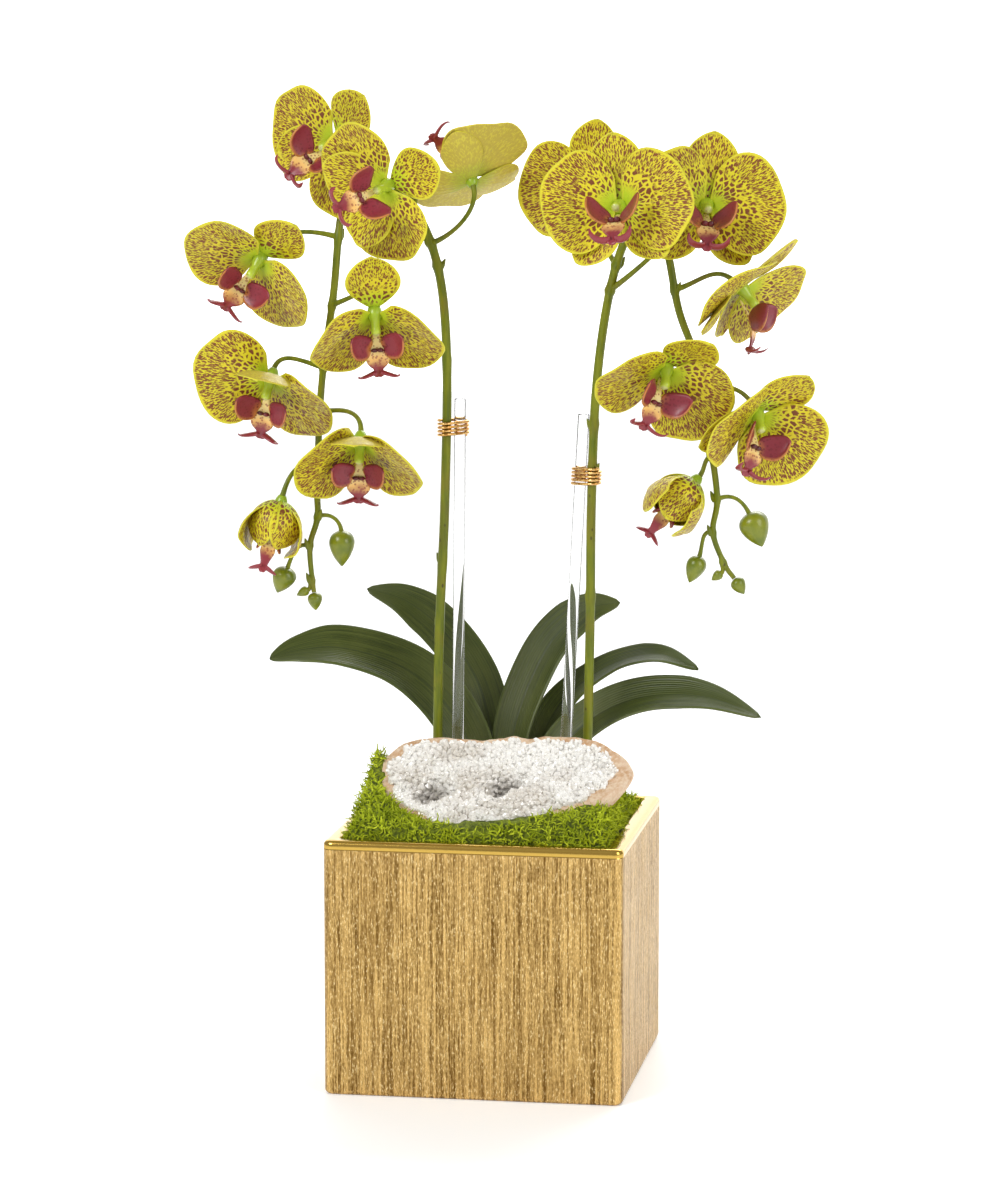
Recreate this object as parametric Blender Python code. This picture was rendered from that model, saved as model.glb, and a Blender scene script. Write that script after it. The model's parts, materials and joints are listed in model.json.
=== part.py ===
"""A potted orchid: two arching flower spikes held to clear stakes with wound wire, rising with five
leaves from a moss bed and half a geode in a square glazed pot.

Metres, +Z up. The origin is the centre of the pot's underside, the front is -Y and +X is to the right.
"""
from math import cos, exp, log, pi, radians, sin, sqrt

import bmesh
import bpy
from mathutils import Matrix, Vector

MM = 0.001

# ---- pot ----
POT_SIDE = 152.4 * MM
POT_HEIGHT = 130.7 * MM
POT_WALL = 9 * MM
POT_FLOOR = 12 * MM
POT_CORNER = 5 * MM
POT_INNER_CORNER = 2 * MM
POT_RIM_ROUND = 2.5 * MM
POT_FOOT_ROUND = 2.5 * MM

# ---- filling ----
GAP = 0.3 * MM            # between pieces that touch
FILL_DROP = 13 * MM       # block's top below the pot's rim
ROOTING = 22 * MM         # how far the spikes and stakes go down into the block
MOSS_RISE = 5 * MM        # moss above the rim away from its heaps
MOSS_OVERHANG = 6 * MM    # how far the moss spreads over the rim

# ---- spikes, stakes and ties ----
STEM_RADIUS = 2.5 * MM
STEM_TIP_RADIUS = 1.2 * MM
PEDICEL_RADIUS = 1.15 * MM
STALK_SEAT = 1.5 * MM     # straight end of a flower stalk behind its bloom or bud
STAKE_RADIUS = 3 * MM
STAKE_CLEARANCE = 0.5 * MM   # stake to stem at the tie
WIRE_RADIUS = 0.7 * MM
WIRE_PITCH = 1.9 * MM
WIRE_TURNS = 4.5

# ---- blooms ----
PETAL_LENGTH = 39 * MM
PETAL_BREADTH = 47 * MM
DORSAL_LENGTH = 36 * MM
DORSAL_BREADTH = 28 * MM
LATERAL_LENGTH = 35 * MM
LATERAL_BREADTH = 23 * MM
TEPAL_THICKNESS = 1.2 * MM
HUB_RADIUS = 3.6 * MM
HUB_BACK = 4.5 * MM
COLUMN_LENGTH = 12 * MM

# ---- leaves ----
LEAF_THICKNESS = 2 * MM
LEAF_SEAT = 4 * MM        # leaf bases above the filling block
LEAF_CLEARANCE = 1 * MM   # moss to leaf, all round
LEAF_HOLE_RISE = 25 * MM  # how far above the pot the slots in the moss are cut
CROWN_INSET = 22 * MM     # crown of the plant in front of the pot's back inner wall

# ---- worked out ----
POT_HALF = POT_SIDE / 2
CAVITY_HALF = POT_HALF - POT_WALL
FILL_TOP = POT_HEIGHT - FILL_DROP
ROOT_DEPTH = FILL_TOP - ROOTING
CROWN = Vector((0, CAVITY_HALF - CROWN_INSET, POT_HEIGHT))   # the plant's places are from here


def planted(point):
    """A place of the plant, from its crown in mm."""
    return CROWN + Vector(point) * MM


def rooted(point, depth):
    """A place across the crown in mm, at a height above the pot's foot."""
    return Vector((CROWN.x + point[0] * MM, CROWN.y + point[1] * MM, depth))


# ------------------------------------------------------------------ finishes
def finish(name, colour, roughness, metallic=0.0, alpha=1.0):
    """A named plain material."""
    material = bpy.data.materials.new(name)
    material.use_nodes = True
    shader = material.node_tree.nodes["Principled BSDF"]
    shader.inputs["Base Color"].default_value = (*colour, 1.0)
    shader.inputs["Roughness"].default_value = roughness
    shader.inputs["Metallic"].default_value = metallic
    shader.inputs["Alpha"].default_value = alpha
    return material


# ------------------------------------------------------------------ mesh helpers
def add_object(name, bm, material):
    """Closes off a bmesh as a named object with outward faces."""
    bmesh.ops.recalc_face_normals(bm, faces=bm.faces)
    mesh = bpy.data.meshes.new(name)
    bm.to_mesh(mesh)
    bm.free()
    mesh.materials.append(material)
    mesh.shade_smooth()
    mesh.set_sharp_from_angle(angle=radians(40))
    obj = bpy.data.objects.new(name, mesh)
    bpy.context.scene.collection.objects.link(obj)
    return obj


def combined(obj, operation, others):
    """Applies EXACT Booleans of the other solids to obj and clears those solids away."""
    for other in others:
        step = obj.modifiers.new("join", "BOOLEAN")
        step.operation = operation
        step.solver = "EXACT"
        step.object = other
    depsgraph = bpy.context.evaluated_depsgraph_get()
    mesh = bpy.data.meshes.new_from_object(obj.evaluated_get(depsgraph))
    obj.modifiers.clear()
    old, obj.data = obj.data, mesh
    bpy.data.meshes.remove(old)
    for other in others:
        bpy.data.objects.remove(other)
    return obj


def loft(rings):
    """A bmesh skinned through rings of equal count; a ring of one point closes an end."""
    bm = bmesh.new()
    rows = [[bm.verts.new(point) for point in ring] for ring in rings]
    for lower, upper in zip(rows, rows[1:]):
        count = max(len(lower), len(upper))
        for i in range(count):
            j = (i + 1) % count
            corners = [lower[i % len(lower)], lower[j % len(lower)],
                       upper[j % len(upper)], upper[i % len(upper)]]
            bm.faces.new(list(dict.fromkeys(corners)))
    for row in (rows[0], rows[-1]):
        if len(row) > 1:
            bm.faces.new(row)
    return bm


def rounded_square(half, radius, z, steps=3):
    """Points round a square with arced corners."""
    points = []
    for corner in range(4):
        turn = corner * pi / 2
        centre = Matrix.Rotation(turn, 3, "Z") @ Vector((half - radius, half - radius, 0))
        for step in range(steps + 1):
            angle = turn + step * pi / 2 / steps
            points.append(centre + Vector((radius * cos(angle), radius * sin(angle), z)))
    return points


def smooth_path(points, per_span):
    """Points along a Catmull-Rom curve through the given ones."""
    knots = [Vector(p) for p in points]
    knots = [2 * knots[0] - knots[1]] + knots + [2 * knots[-1] - knots[-2]]
    path = []
    for a, b, c, d in zip(knots, knots[1:], knots[2:], knots[3:]):
        for step in range(per_span):
            t = step / per_span
            path.append(0.5 * (2 * b + (c - a) * t + (2 * a - 5 * b + 4 * c - d) * t * t
                               + (3 * b - a - 3 * c + d) * t * t * t))
    path.append(knots[-2])
    return path


def tube(path, radii, sides):
    """A bmesh tube along a path, its section carried along without twisting."""
    tangents = []
    for i in range(len(path)):
        ahead = path[min(i + 1, len(path) - 1)]
        behind = path[max(i - 1, 0)]
        tangents.append((ahead - behind).normalized())
    side = tangents[0].orthogonal().normalized()
    rings = []
    for centre, tangent, radius in zip(path, tangents, radii):
        side = (side - side.dot(tangent) * tangent).normalized()
        across = tangent.cross(side)
        rings.append([centre + radius * (cos(2 * pi * k / sides) * side + sin(2 * pi * k / sides) * across)
                      for k in range(sides)])
    return loft(rings)


def sheet(grid, thickness):
    """A thin closed solid about a grid of points, full in the middle and sharp at its edges."""
    rows, columns = len(grid), len(grid[0])
    bm = bmesh.new()
    front, back = {}, {}
    for i in range(rows):
        poled = (grid[i][0] - grid[i][-1]).length < 1e-7
        for j in range(columns):
            if poled and j:
                front[i, j], back[i, j] = front[i, 0], back[i, 0]
                continue
            point = grid[i][j]
            if i in (0, rows - 1) or j in (0, columns - 1):
                front[i, j] = back[i, j] = bm.verts.new(point)
                continue
            along = grid[i + 1][j] - grid[i - 1][j]
            across = grid[i][j + 1] - grid[i][j - 1]
            lift = across.cross(along).normalized() * thickness / 2
            front[i, j] = bm.verts.new(point + lift)
            back[i, j] = bm.verts.new(point - lift)
    for side in (front, back):
        for i in range(rows - 1):
            for j in range(columns - 1):
                corners = [side[i, j], side[i, j + 1], side[i + 1, j + 1], side[i + 1, j]]
                corners = list(dict.fromkeys(corners))
                if len(corners) > 2:
                    bm.faces.new(corners)
    return bm


def facing(heading, elevation, roll=0.0):
    """A turn that points +Z of a part the given way: heading from the front towards +X, all in degrees."""
    heading, elevation, roll = radians(heading), radians(elevation), radians(roll)
    ahead = Vector((sin(heading) * cos(elevation), -cos(heading) * cos(elevation), sin(elevation)))
    level = Vector((cos(heading), sin(heading), 0))
    above = ahead.cross(level)
    right = level * cos(roll) + above * sin(roll)
    top = above * cos(roll) - level * sin(roll)
    return Matrix((right, top, ahead)).transposed()


# ------------------------------------------------------------------ pot and filling
def pot(material):
    """A thick square cup with a rounded rim and foot."""
    def ring(inset, z):
        return rounded_square(POT_HALF - inset, max(POT_CORNER - inset, POT_INNER_CORNER), z)
    rings = [ring(POT_FOOT_ROUND, 0)]
    for degrees in (45, 90):
        swing = radians(degrees)
        rings.append(ring(POT_FOOT_ROUND * (1 - sin(swing)), POT_FOOT_ROUND * (1 - cos(swing))))
    for degrees in (0, 45, 90):
        swing = radians(degrees)
        rings.append(ring(POT_RIM_ROUND * (1 - cos(swing)),
                          POT_HEIGHT - POT_RIM_ROUND * (1 - sin(swing))))
    for degrees in (90, 45, 0):
        swing = radians(degrees)
        rings.append(ring(POT_WALL - POT_RIM_ROUND * (1 - cos(swing)),
                          POT_HEIGHT - POT_RIM_ROUND * (1 - sin(swing))))
    rings.append(ring(POT_WALL, POT_FLOOR))
    return add_object("pot", loft(rings), material)


def filling_block(material, holes):
    """The foam block that fills the pot and holds what is pushed into it."""
    half = CAVITY_HALF - GAP
    rings = [rounded_square(half, POT_INNER_CORNER, z) for z in (POT_FLOOR + GAP, FILL_TOP)]
    return combined(add_object("filling_block", loft(rings), material), "DIFFERENCE", holes)


# Heaps of moss: centre x and y, height above the bed, spread. Offsets are from the pot's edges.
MOSS_HEAPS = (
    (-POT_HALF + 11 * MM, 4 * MM, 26 * MM, 15 * MM),
    (POT_HALF - 10 * MM, -36 * MM, 15 * MM, 14 * MM),
    (-POT_HALF + 16 * MM, -50 * MM, 7 * MM, 13 * MM),
    (8 * MM, POT_HALF - 20 * MM, 6 * MM, 32 * MM),
)


def moss_height(x, y):
    """Height of the moss at a place on the bed."""
    height = POT_HEIGHT + MOSS_RISE
    for heap_x, heap_y, rise, spread in MOSS_HEAPS:
        height += rise * exp(-((x - heap_x) ** 2 + (y - heap_y) ** 2) / (2 * spread ** 2))
    height += 1.2 * MM * sin(x / (7 * MM)) * cos(y / (6 * MM))
    return height


def moss_bed(material, holes):
    """One cushion of moss over the block, spreading a little over the rim."""
    inner = CAVITY_HALF - GAP
    outer = CAVITY_HALF + MOSS_OVERHANG
    over_rim = POT_HEIGHT + GAP
    steps = 3
    rings = [rounded_square(inner, POT_INNER_CORNER, FILL_TOP + GAP, steps),
             rounded_square(inner, POT_INNER_CORNER, over_rim, steps),
             rounded_square(outer, POT_CORNER, over_rim + 1 * MM, steps)]
    for share in (0.97, 0.82, 0.64, 0.44, 0.22):
        ring = rounded_square(outer * share, outer * share * 0.35, 0, steps)
        rings.append([Vector((p.x, p.y, moss_height(p.x, p.y))) for p in ring])
    rings.append([Vector((0, 0, moss_height(0, 0)))])
    return combined(add_object("moss_bed", loft(rings), material), "DIFFERENCE", holes)


# ------------------------------------------------------------------ geode
GEODE_CENTRE = Vector((8 * MM, -25 * MM, POT_HEIGHT + 23 * MM))
# Reach of the broken edge round the centre, in mm: the mean, then the cosine and sine part of each
# harmonic. The left end is blunt and tall, the right end long and low.
GEODE_MEAN = 48.7
GEODE_HARMONICS = ((-1.8, -0.8), (14.4, -4.5), (0.9, 6.7), (2.8, -3.0))
GEODE_DEPTH = 27 * MM
GEODE_RECESS = 5 * MM
GEODE_TILT = 34           # degrees the broken face leans back
GEODE_ROLL = 7            # degrees its right end is raised


def geode_frame():
    """Turn of the geode: x along its length, y up its broken face, z out of the face."""
    return Matrix.Rotation(radians(-GEODE_ROLL), 3, "Y") @ Matrix.Rotation(radians(GEODE_TILT), 3, "X")


def geode_outline(angle):
    """Reach of the broken edge at an angle round the centre."""
    reach = GEODE_MEAN
    for k, (even, odd) in enumerate(GEODE_HARMONICS, 1):
        reach += even * cos(k * angle) + odd * sin(k * angle)
    return reach * MM


def geode_solid(name, material, grow=0.0):
    """Half a geode: a lumpy rounded back and a shallow hollow face; grow swells it all round."""
    turn = geode_frame()
    sides = 20

    def ring(share, z):
        points = []
        for k in range(sides):
            angle = 2 * pi * k / sides
            reach = geode_outline(angle) * share + grow
            points.append(GEODE_CENTRE + turn @ Vector((reach * cos(angle), reach * sin(angle), z)))
        return points

    rings = [[GEODE_CENTRE + turn @ Vector((0, 0, -GEODE_DEPTH - grow))]]
    for degrees in (25, 50, 72):
        swing = radians(degrees)
        rings.append(ring(sin(swing), -GEODE_DEPTH * cos(swing) - grow))
    rings.append(ring(1.0, -2 * MM))
    rings.append(ring(0.96, grow))
    rings.append(ring(0.72, grow - GEODE_RECESS * 0.7))
    rings.append(ring(0.38, grow - GEODE_RECESS))
    rings.append([GEODE_CENTRE + turn @ Vector((0, 0, grow - GEODE_RECESS))])
    return add_object(name, loft(rings), material)


# ------------------------------------------------------------------ spikes
# Routes of the two spikes from the crown in mm: up over the arch to the hanging tip.
LEFT_ROUTE = [planted(p) for p in (
    (-36, -12, 81), (-32, -16, 159), (-30, -21, 239), (-34, -28, 286), (-47, -36, 317), (-66, -42, 329),
    (-78, -50, 315), (-82, -57, 270), (-88, -59, 224), (-91, -57, 174), (-91, -57, 156),
    (-95, -57, 141), (-94, -57, 124), (-93, -57, 117))]
RIGHT_ROUTE = [planted(p) for p in (
    (44, -13, 91), (45, -16, 159), (48, -21, 220), (55, -28, 267), (65, -37, 298), (77, -45, 310),
    (88, -53, 294), (95, -56, 263), (107, -58, 231), (112, -58, 194), (115, -58, 169),
    (113, -58, 152), (119, -58, 136), (124, -58, 129))]
LEFT_ROOT = rooted((-38, -9), ROOT_DEPTH)
RIGHT_ROOT = rooted((41, -10), ROOT_DEPTH)
ROUTE_STEPS = 2


def stem_path(root, route):
    """The whole centre line of a spike."""
    return smooth_path([root] + route, ROUTE_STEPS)


def stem_radii(path):
    """Radius along the spike, thinning from its root to its tip."""
    last = len(path) - 1
    return [STEM_RADIUS + (STEM_TIP_RADIUS - STEM_RADIUS) * (i / last) ** 1.5 for i in range(last + 1)]


def at_height(path, z, falling):
    """Where the centre line passes a height, on its rising or its falling length."""
    crossings = []
    for a, b in zip(path, path[1:]):
        if min(a.z, b.z) <= z < max(a.z, b.z):
            crossings.append(a.lerp(b, (z - a.z) / (b.z - a.z)))
    return crossings[-1 if falling else 0]


def pedicel(name, start, end, end_way, rise, material, radius=PEDICEL_RADIUS):
    """A flower stalk that leaves the spike outwards and upwards and meets the bloom's back squarely."""
    span = (end - start).length
    outward = Vector((end.x - start.x, end.y - start.y, 0)).normalized() + Vector((0, 0, rise))
    first = start + outward.normalized() * span * 0.45
    second = end - end_way * min(span * 0.45, 14 * MM)
    steps = 4
    seat = end
    end = end - end_way * STALK_SEAT
    path = []
    for step in range(steps + 1):
        t = step / steps
        path.append(start * (1 - t) ** 3 + first * 3 * t * (1 - t) ** 2
                    + second * 3 * t * t * (1 - t) + end * t ** 3)
    path.append(seat)
    return add_object(name, tube(path, [radius] * len(path), 5), material)


def spike(name, root, route, stalks, material):
    """A main stem with all its flower stalks joined on."""
    path = stem_path(root, route)
    stem = add_object(name, tube(path, stem_radii(path), 7), material)
    joined = []
    for i, (height, falling, rise, end, end_way, radius) in enumerate(stalks):
        start = at_height(path, height, falling)
        joined.append(pedicel(f"{name}_stalk_{i}", start, end, end_way, rise, material, radius))
    return combined(stem, "UNION", joined)


# ------------------------------------------------------------------ blooms
FAN_HALF_ANGLE = radians(76)


def fan_point(u, v):
    """A point of a broad petal: u runs from claw to rim, v from edge to edge."""
    angle = v * FAN_HALF_ANGLE
    a, b = PETAL_LENGTH / 2, PETAL_BREADTH / 2
    reach = (2 * cos(angle) / a) / ((cos(angle) / a) ** 2 + (sin(angle) / b) ** 2)
    return u * reach * sin(angle), u * reach * cos(angle)


def lens_point(u, v, length, breadth, widest):
    """A point of an oval sepal whose greatest breadth is at the share widest of its length."""
    power = log(0.5) / log(widest)
    return v * breadth / 2 * sin(pi * u ** power) ** 0.7, u * length


def cupped(x, y, length, breadth, tilt, curl, trough):
    """Bends a flat point of a tepal: tilt at its claw, curl along it, trough across it."""
    radius = length / curl
    angle = tilt + curl * y / length
    lift = trough * breadth * (2 * x / breadth) ** 2
    return Vector((x, radius * (sin(angle) - sin(tilt)) - lift * sin(angle),
                   radius * (cos(tilt) - cos(angle)) + lift * cos(angle)))


# How a bloom holds itself. Dorsal sepal and lateral sepals: tilt and curl. Left and right petal:
# place round the hub, tilt, twist of the edge next to the dorsal sepal. All in degrees.
FLAT_SET = ((6, 14), (6, 12), (192, 16, 0), (-12, 16, 0))
LEFT_SETS = {
    "left_1": ((6, 16), (4, 12), (208, 10, 0), (-22, 10, 0)),
    "left_2": ((8, 20), (6, 12), (216, 4, 14), (-26, 4, 10)),
    "left_3": ((8, 24), (6, 20), (188, 24, 0), (-8, 18, 0)),
    "left_4": ((-16, 14), (8, 14), (188, 24, -12), (-4, 34, 0)),
    "left_5": ((-24, 14), (20, 14), (200, 40, 4), (-22, 40, 4)),
    "left_6": ((20, 20), (14, 14), (164, 18, -46), (-16, 30, -6)),
    "left_7": ((20, 20), (22, 14), (172, 46, -18), (4, 42, -6)),
}
RIGHT_SETS = {
    "right_1": ((10, 10), (6, 12), (172, 22, 4), (4, 22, 4)),
    "right_3": ((0, 12), (4, 12), (170, 22, 0), (8, 18, -8)),
    "right_4": ((4, 8), (4, 14), (184, 6, 8), (6, 34, 0)),
    "right_5": ((7, 20), (11, 15), (207, 33, 8), (-5, 36, -7)),
    "right_6": ((8, 16), (14, 14), (196, 42, 0), (-10, 38, 0)),
}
PETAL_SETS = {**LEFT_SETS, **RIGHT_SETS}
HALF_OPEN_SET = ((34, 78), (32, 76), (172, 22, 0), (8, 22, 0))
HALF_OPEN_FOLD = 0.6      # breadth left showing of a petal that is still folded in
HALF_OPEN = ("left_8", "right_7")


def petal_grid(height, curl, fold, place, tilt, twist):
    """The points of one broad petal, in the bloom's own frame."""
    tilt, curl = radians(tilt), radians(curl)
    side = 1 if cos(radians(place)) > 0 else -1
    turn = Matrix.Rotation(radians(place - 90), 3, "Z")
    turn @= Matrix.Rotation(radians(twist) * side, 3, Vector((0, cos(tilt), sin(tilt))))
    grid = []
    for u in (0.0, 0.55, 1.0):
        row = []
        for v in (-1, -0.72, -0.28, 0.28, 0.72, 1):
            point = cupped(*fan_point(u, v * fold), PETAL_LENGTH, PETAL_BREADTH, tilt, curl, 0.05)
            row.append(turn @ (point + Vector((0, HUB_RADIUS * 0.3, 0))) + Vector((0, 0, height * MM)))
        grid.append(row)
    return grid


def sepal_grid(place, height, length, breadth, tilt, curl, trough):
    """The points of one oval sepal, in the bloom's own frame."""
    turn = Matrix.Rotation(radians(place - 90), 3, "Z")
    grid = []
    for u in (0.0, 0.32, 0.74, 1.0):
        row = []
        for v in (-1, 0, 1):
            point = cupped(*lens_point(u, v, length, breadth, 0.56), length, breadth,
                           radians(tilt), radians(curl), trough)
            row.append(turn @ (point + Vector((0, HUB_RADIUS * 0.3, height * MM))))
        grid.append(row)
    return grid


def tepals(name):
    """The five tepals of a bloom: dorsal sepal, two lateral sepals and two petals."""
    shut = name in HALF_OPEN
    dorsal, lateral, left, right = HALF_OPEN_SET if shut else PETAL_SETS.get(name, FLAT_SET)
    trough = 0.16 if shut else 0.09
    bend = (82, HALF_OPEN_FOLD) if shut else (-16, 1.0)
    return [
        sepal_grid(90, -1.0, DORSAL_LENGTH, DORSAL_BREADTH, *dorsal, trough),
        sepal_grid(231, -1.7, LATERAL_LENGTH, LATERAL_BREADTH, *lateral, trough),
        sepal_grid(311, -1.3, LATERAL_LENGTH, LATERAL_BREADTH, *lateral, trough),
        petal_grid(0.6, *bend, *left),
        petal_grid(1.1, *bend, *right),
    ]


def column():
    """The hub and the column that stands out of it, closed at both ends."""
    profile = ((0, -HUB_BACK, 0.62), (0, -HUB_BACK * 0.3, 1.0), (0, HUB_BACK * 0.35, 1.0),
               (-0.06 * COLUMN_LENGTH, 0.55 * COLUMN_LENGTH, 0.62),
               (-0.12 * COLUMN_LENGTH, 0.9 * COLUMN_LENGTH, 0.72),
               (-0.14 * COLUMN_LENGTH, COLUMN_LENGTH, 0.4))
    path = [Vector((0, y, z)) for y, z, _ in profile]
    return tube(path, [HUB_RADIUS * share for *_, share in profile], 5)


def placed(obj, turn, centre, scale):
    """Puts a part made about the origin in its place, in its mesh."""
    obj.data.transform(Matrix.Translation(centre) @ turn.to_4x4() @ Matrix.Scale(scale, 4))
    return obj


def bloom(name, turn, centre, scale, material):
    """Three sepals, two petals and the column of one flower, as one body."""
    node = f"bloom_{name}"
    hub = add_object(node, column(), material)
    parts = [add_object(f"{node}_{i}", sheet(grid, TEPAL_THICKNESS), material)
             for i, grid in enumerate(tepals(name))]
    return placed(combined(hub, "UNION", parts), turn, centre, scale)


# Middle lobe of the lip from its claw to its horned end: drop below the column, reach out of the
# bloom and half width, in mm; the horns come forward by the last value.
LIP_MIDDLE = ((4.6, 3.5, 1.2, 0), (6.8, 10, 1.6, 0), (9.0, 15.5, 4.2, 0.6), (13.0, 20.0, 5.4, 1.4),
              (17.0, 23.0, 3.0, 0.4), (19.2, 24.2, 9.5, 4.6), (21.0, 25.0, 2.0, 0))
# One side lobe: out to the side, up from the crest, reach out of the bloom, half width, in mm.
LIP_SIDE = ((2.5, -9.0, 15.0, 0), (5.0, -8.0, 16.5, 3.6), (10.0, -4.0, 18.5, 6.2), (12.5, 0.5, 19.0, 4.4),
            (13.0, 4.0, 18.5, 0))


# The same for a half-open bloom, whose lip is held in between the tepals. The crest of each lip
# is given as drop and reach of its low end, its middle and its high end.
SHUT_LIP_MIDDLE = ((4.6, 3.5, 1.2, 0), (5.4, 12, 1.6, 0), (6.4, 20, 3.4, 0.3), (7.4, 27, 4.0, 1.0),
                   (9.0, 33, 2.6, 0.4), (11.5, 37, 7.5, 3.2), (13.0, 39, 1.6, 0))
SHUT_LIP_SIDE = ((1.5, -6.0, 18.0, 0), (3.2, -5.5, 20.5, 2.6), (5.4, -3.5, 23.5, 4.0), (6.4, -1, 26, 2.8),
                 (6.6, 1, 27.5, 0))
CREST = ((7.6, 14.0), (9.0, 17.5), (12.0, 20.0))
SHUT_CREST = ((5.2, 16.0), (6.2, 20.0), (7.6, 24.0))


def lip_middle(rows):
    """The middle lobe: out from below the column, then down, ending in two horns."""
    return [[Vector((v * half, -drop + abs(v) * horn * 0.3, reach + abs(v) * horn)) * MM
             for v in (-1, 0, 1)] for drop, reach, half, horn in rows]


def lip_side(rows, side):
    """One side lobe, standing up beside the column."""
    across = Vector((side * 0.2, -0.55, 0.8)) * MM
    return [[Vector((side * x, y, z)) * MM + across * half * v for v in (-1, 0, 1)]
            for x, y, z, half in rows]


def lip_crest(rows):
    """The raised crest where the lobes of the lip meet."""
    path = [Vector((0, -drop, reach)) * MM for drop, reach in rows]
    return tube(path, [r * MM for r in (1.6, 2.8, 1.6)], 6)


def lip(name, turn, centre, scale, material):
    """The lip of one flower, hanging below its column."""
    node = f"lip_{name}"
    shut = name in HALF_OPEN
    middle = SHUT_LIP_MIDDLE if shut else LIP_MIDDLE
    side = SHUT_LIP_SIDE if shut else LIP_SIDE
    crest = add_object(node, lip_crest(SHUT_CREST if shut else CREST), material)
    parts = [add_object(f"{node}_{i}", sheet(grid, TEPAL_THICKNESS), material)
             for i, grid in enumerate((lip_middle(middle), lip_side(side, -1), lip_side(side, 1)))]
    return placed(combined(crest, "UNION", parts), turn, centre, scale)


# Blooms: centre of the hub from the crown in mm; heading, elevation and roll of the face in degrees; size;
# the height at which its stalk leaves the spike; on the hanging length; stalk's upward lead.
LEFT_BLOOMS = (
    ("left_1", (-80, -58, 347), (-24, -7, -44), 0.98, 327.5, True, 0.8),
    ("left_2", (-47, -90, 327), (-13, -10, -69), 0.98, 315, False, 0.3),
    ("left_3", (-13, -44, 328), (-149, 48, 111), 0.93, 295, False, 0.3),
    ("left_4", (-117, -69, 289), (-28, -48, -58), 1.0, 299, True, 0.3),
    ("left_5", (-56, -81, 263), (18, -57, 7), 1.0, 265, True, 0.2),
    ("left_6", (-111, -73, 229), (-19, -58, -24), 1.0, 233, True, 0.3),
    ("left_7", (-64, -79, 198), (3, -61, -5), 1.0, 210, True, 0.2),
    ("left_8", (-106, -76, 165), (-74, -75, 98), 0.9, 183, True, 0.3),
)
RIGHT_BLOOMS = (
    ("right_1", (69, -87, 317), (-4, 8, 5), 1.0, 302, False, 0.3),
    ("right_2", (45, -20, 324), (-8, 6, -7), 0.95, 285, False, 0.6),
    ("right_3", (109, -62, 317), (12, -1, -6), 1.0, 272, False, 0.6),
    ("right_4", (127, -65, 276), (80, -42, -8), 1.0, 274, True, 0.3),
    ("right_5", (92, -83, 237), (9, -44, -36), 1.0, 243, True, 0.2),
    ("right_6", (136, -71, 214), (28, -36, -30), 1.0, 225, True, 0.3),
    ("right_7", (104, -63, 178), (-63, -47, -73), 0.9, 190, True, 0.2),
)

# Buds: centre from the crown in mm; heading and elevation of the point; length and breadth in mm;
# height of the junction on the spike; stalk's upward lead.
LEFT_BUDS = (
    ("left_1", (-78, -57, 140), (80, -86), 18, 13, 156, 0.5),
    ("left_2", (-109, -58, 123), (-90, -70), 14, 12, 141, 0.3),
    ("left_3", (-99, -57, 117), (-90, -25), 7, 5, 123, 0.1),
)
RIGHT_BUDS = (
    ("right_1", (135, -58, 154), (70, -62), 18, 15, 169, 0.5),
    ("right_2", (104, -58, 133), (-80, -72), 14, 10, 152, 0.3),
    ("right_3", (115, -58, 130), (-90, -35), 6.5, 5, 137, 0.1),
)
TIP_BUD = (9, 7.5)        # length and breadth of the last bud on each spike, in mm
BUD_PROFILE = ((0.0, 0.34), (0.1, 0.78), (0.28, 1.0), (0.5, 0.92), (0.74, 0.6), (0.92, 0.24))


def bud(name, base, way, length, breadth, material):
    """A closed bud: broad by its stalk and pointed at its free end."""
    side = way.orthogonal().normalized()
    across = way.cross(side)
    rings = []
    for share, full in BUD_PROFILE:
        radius = breadth / 2 * full
        rings.append([base + way * length * share
                      + radius * (cos(pi * k / 3) * side + sin(pi * k / 3) * across)
                      for k in range(6)])
    rings.append([base + way * length])
    return add_object(name, loft(rings), material)


def flowers(side, root, route, blooms, buds, finishes):
    """Everything that one spike carries, and the spike itself."""
    stalks = []
    for name, centre, aim, scale, height, falling, rise in blooms:
        turn = facing(*aim)
        centre = planted(centre)
        bloom(name, turn, centre, scale, finishes["petal"])
        lip(name, turn, centre, scale, finishes["lip"])
        way = turn @ Vector((0, 0, 1))
        end = centre - way * (HUB_BACK * scale + GAP)
        stalks.append((height * MM + CROWN.z, falling, rise, end, way, PEDICEL_RADIUS))
    for name, centre, aim, length, breadth, height, rise in buds:
        way = facing(*aim) @ Vector((0, 0, 1))
        base = planted(centre) - way * length * MM / 2
        bud(f"bud_{name}", base, way, length * MM, breadth * MM, finishes["bud"])
        stalks.append((height * MM + CROWN.z, True, rise, base - way * GAP, way,
                       PEDICEL_RADIUS * 0.85))
    way = (route[-1] - route[-2]).normalized()
    length, breadth = TIP_BUD
    bud(f"bud_{side}_4", route[-1] + way * GAP, way, length * MM, breadth * MM, finishes["bud"])
    spike(f"spike_{side}", root, route, stalks, finishes["stem"])


# ------------------------------------------------------------------ stakes and ties
# Stakes: two points on the centre line, the second at its head, from the crown; the tie's height.
STAKES = {
    "left": (planted((-26, -12, 29)), planted((-24.5, -12, 214)), 199 * MM),
    "right": (planted((31, -11, 29)), planted((40.5, -13, 207)), 175 * MM),
}


def stake_ends(side):
    """The stake's foot in the block and its head, on one straight line."""
    low, high, _ = STAKES[side]
    foot = low + (high - low) * ((ROOT_DEPTH - low.z) / (high.z - low.z))
    return foot, high


def stake(side, material):
    """A clear round rod pushed into the block beside its spike."""
    return add_object(f"stake_{side}", tube(list(stake_ends(side)), [STAKE_RADIUS] * 2, 12), material)


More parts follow.
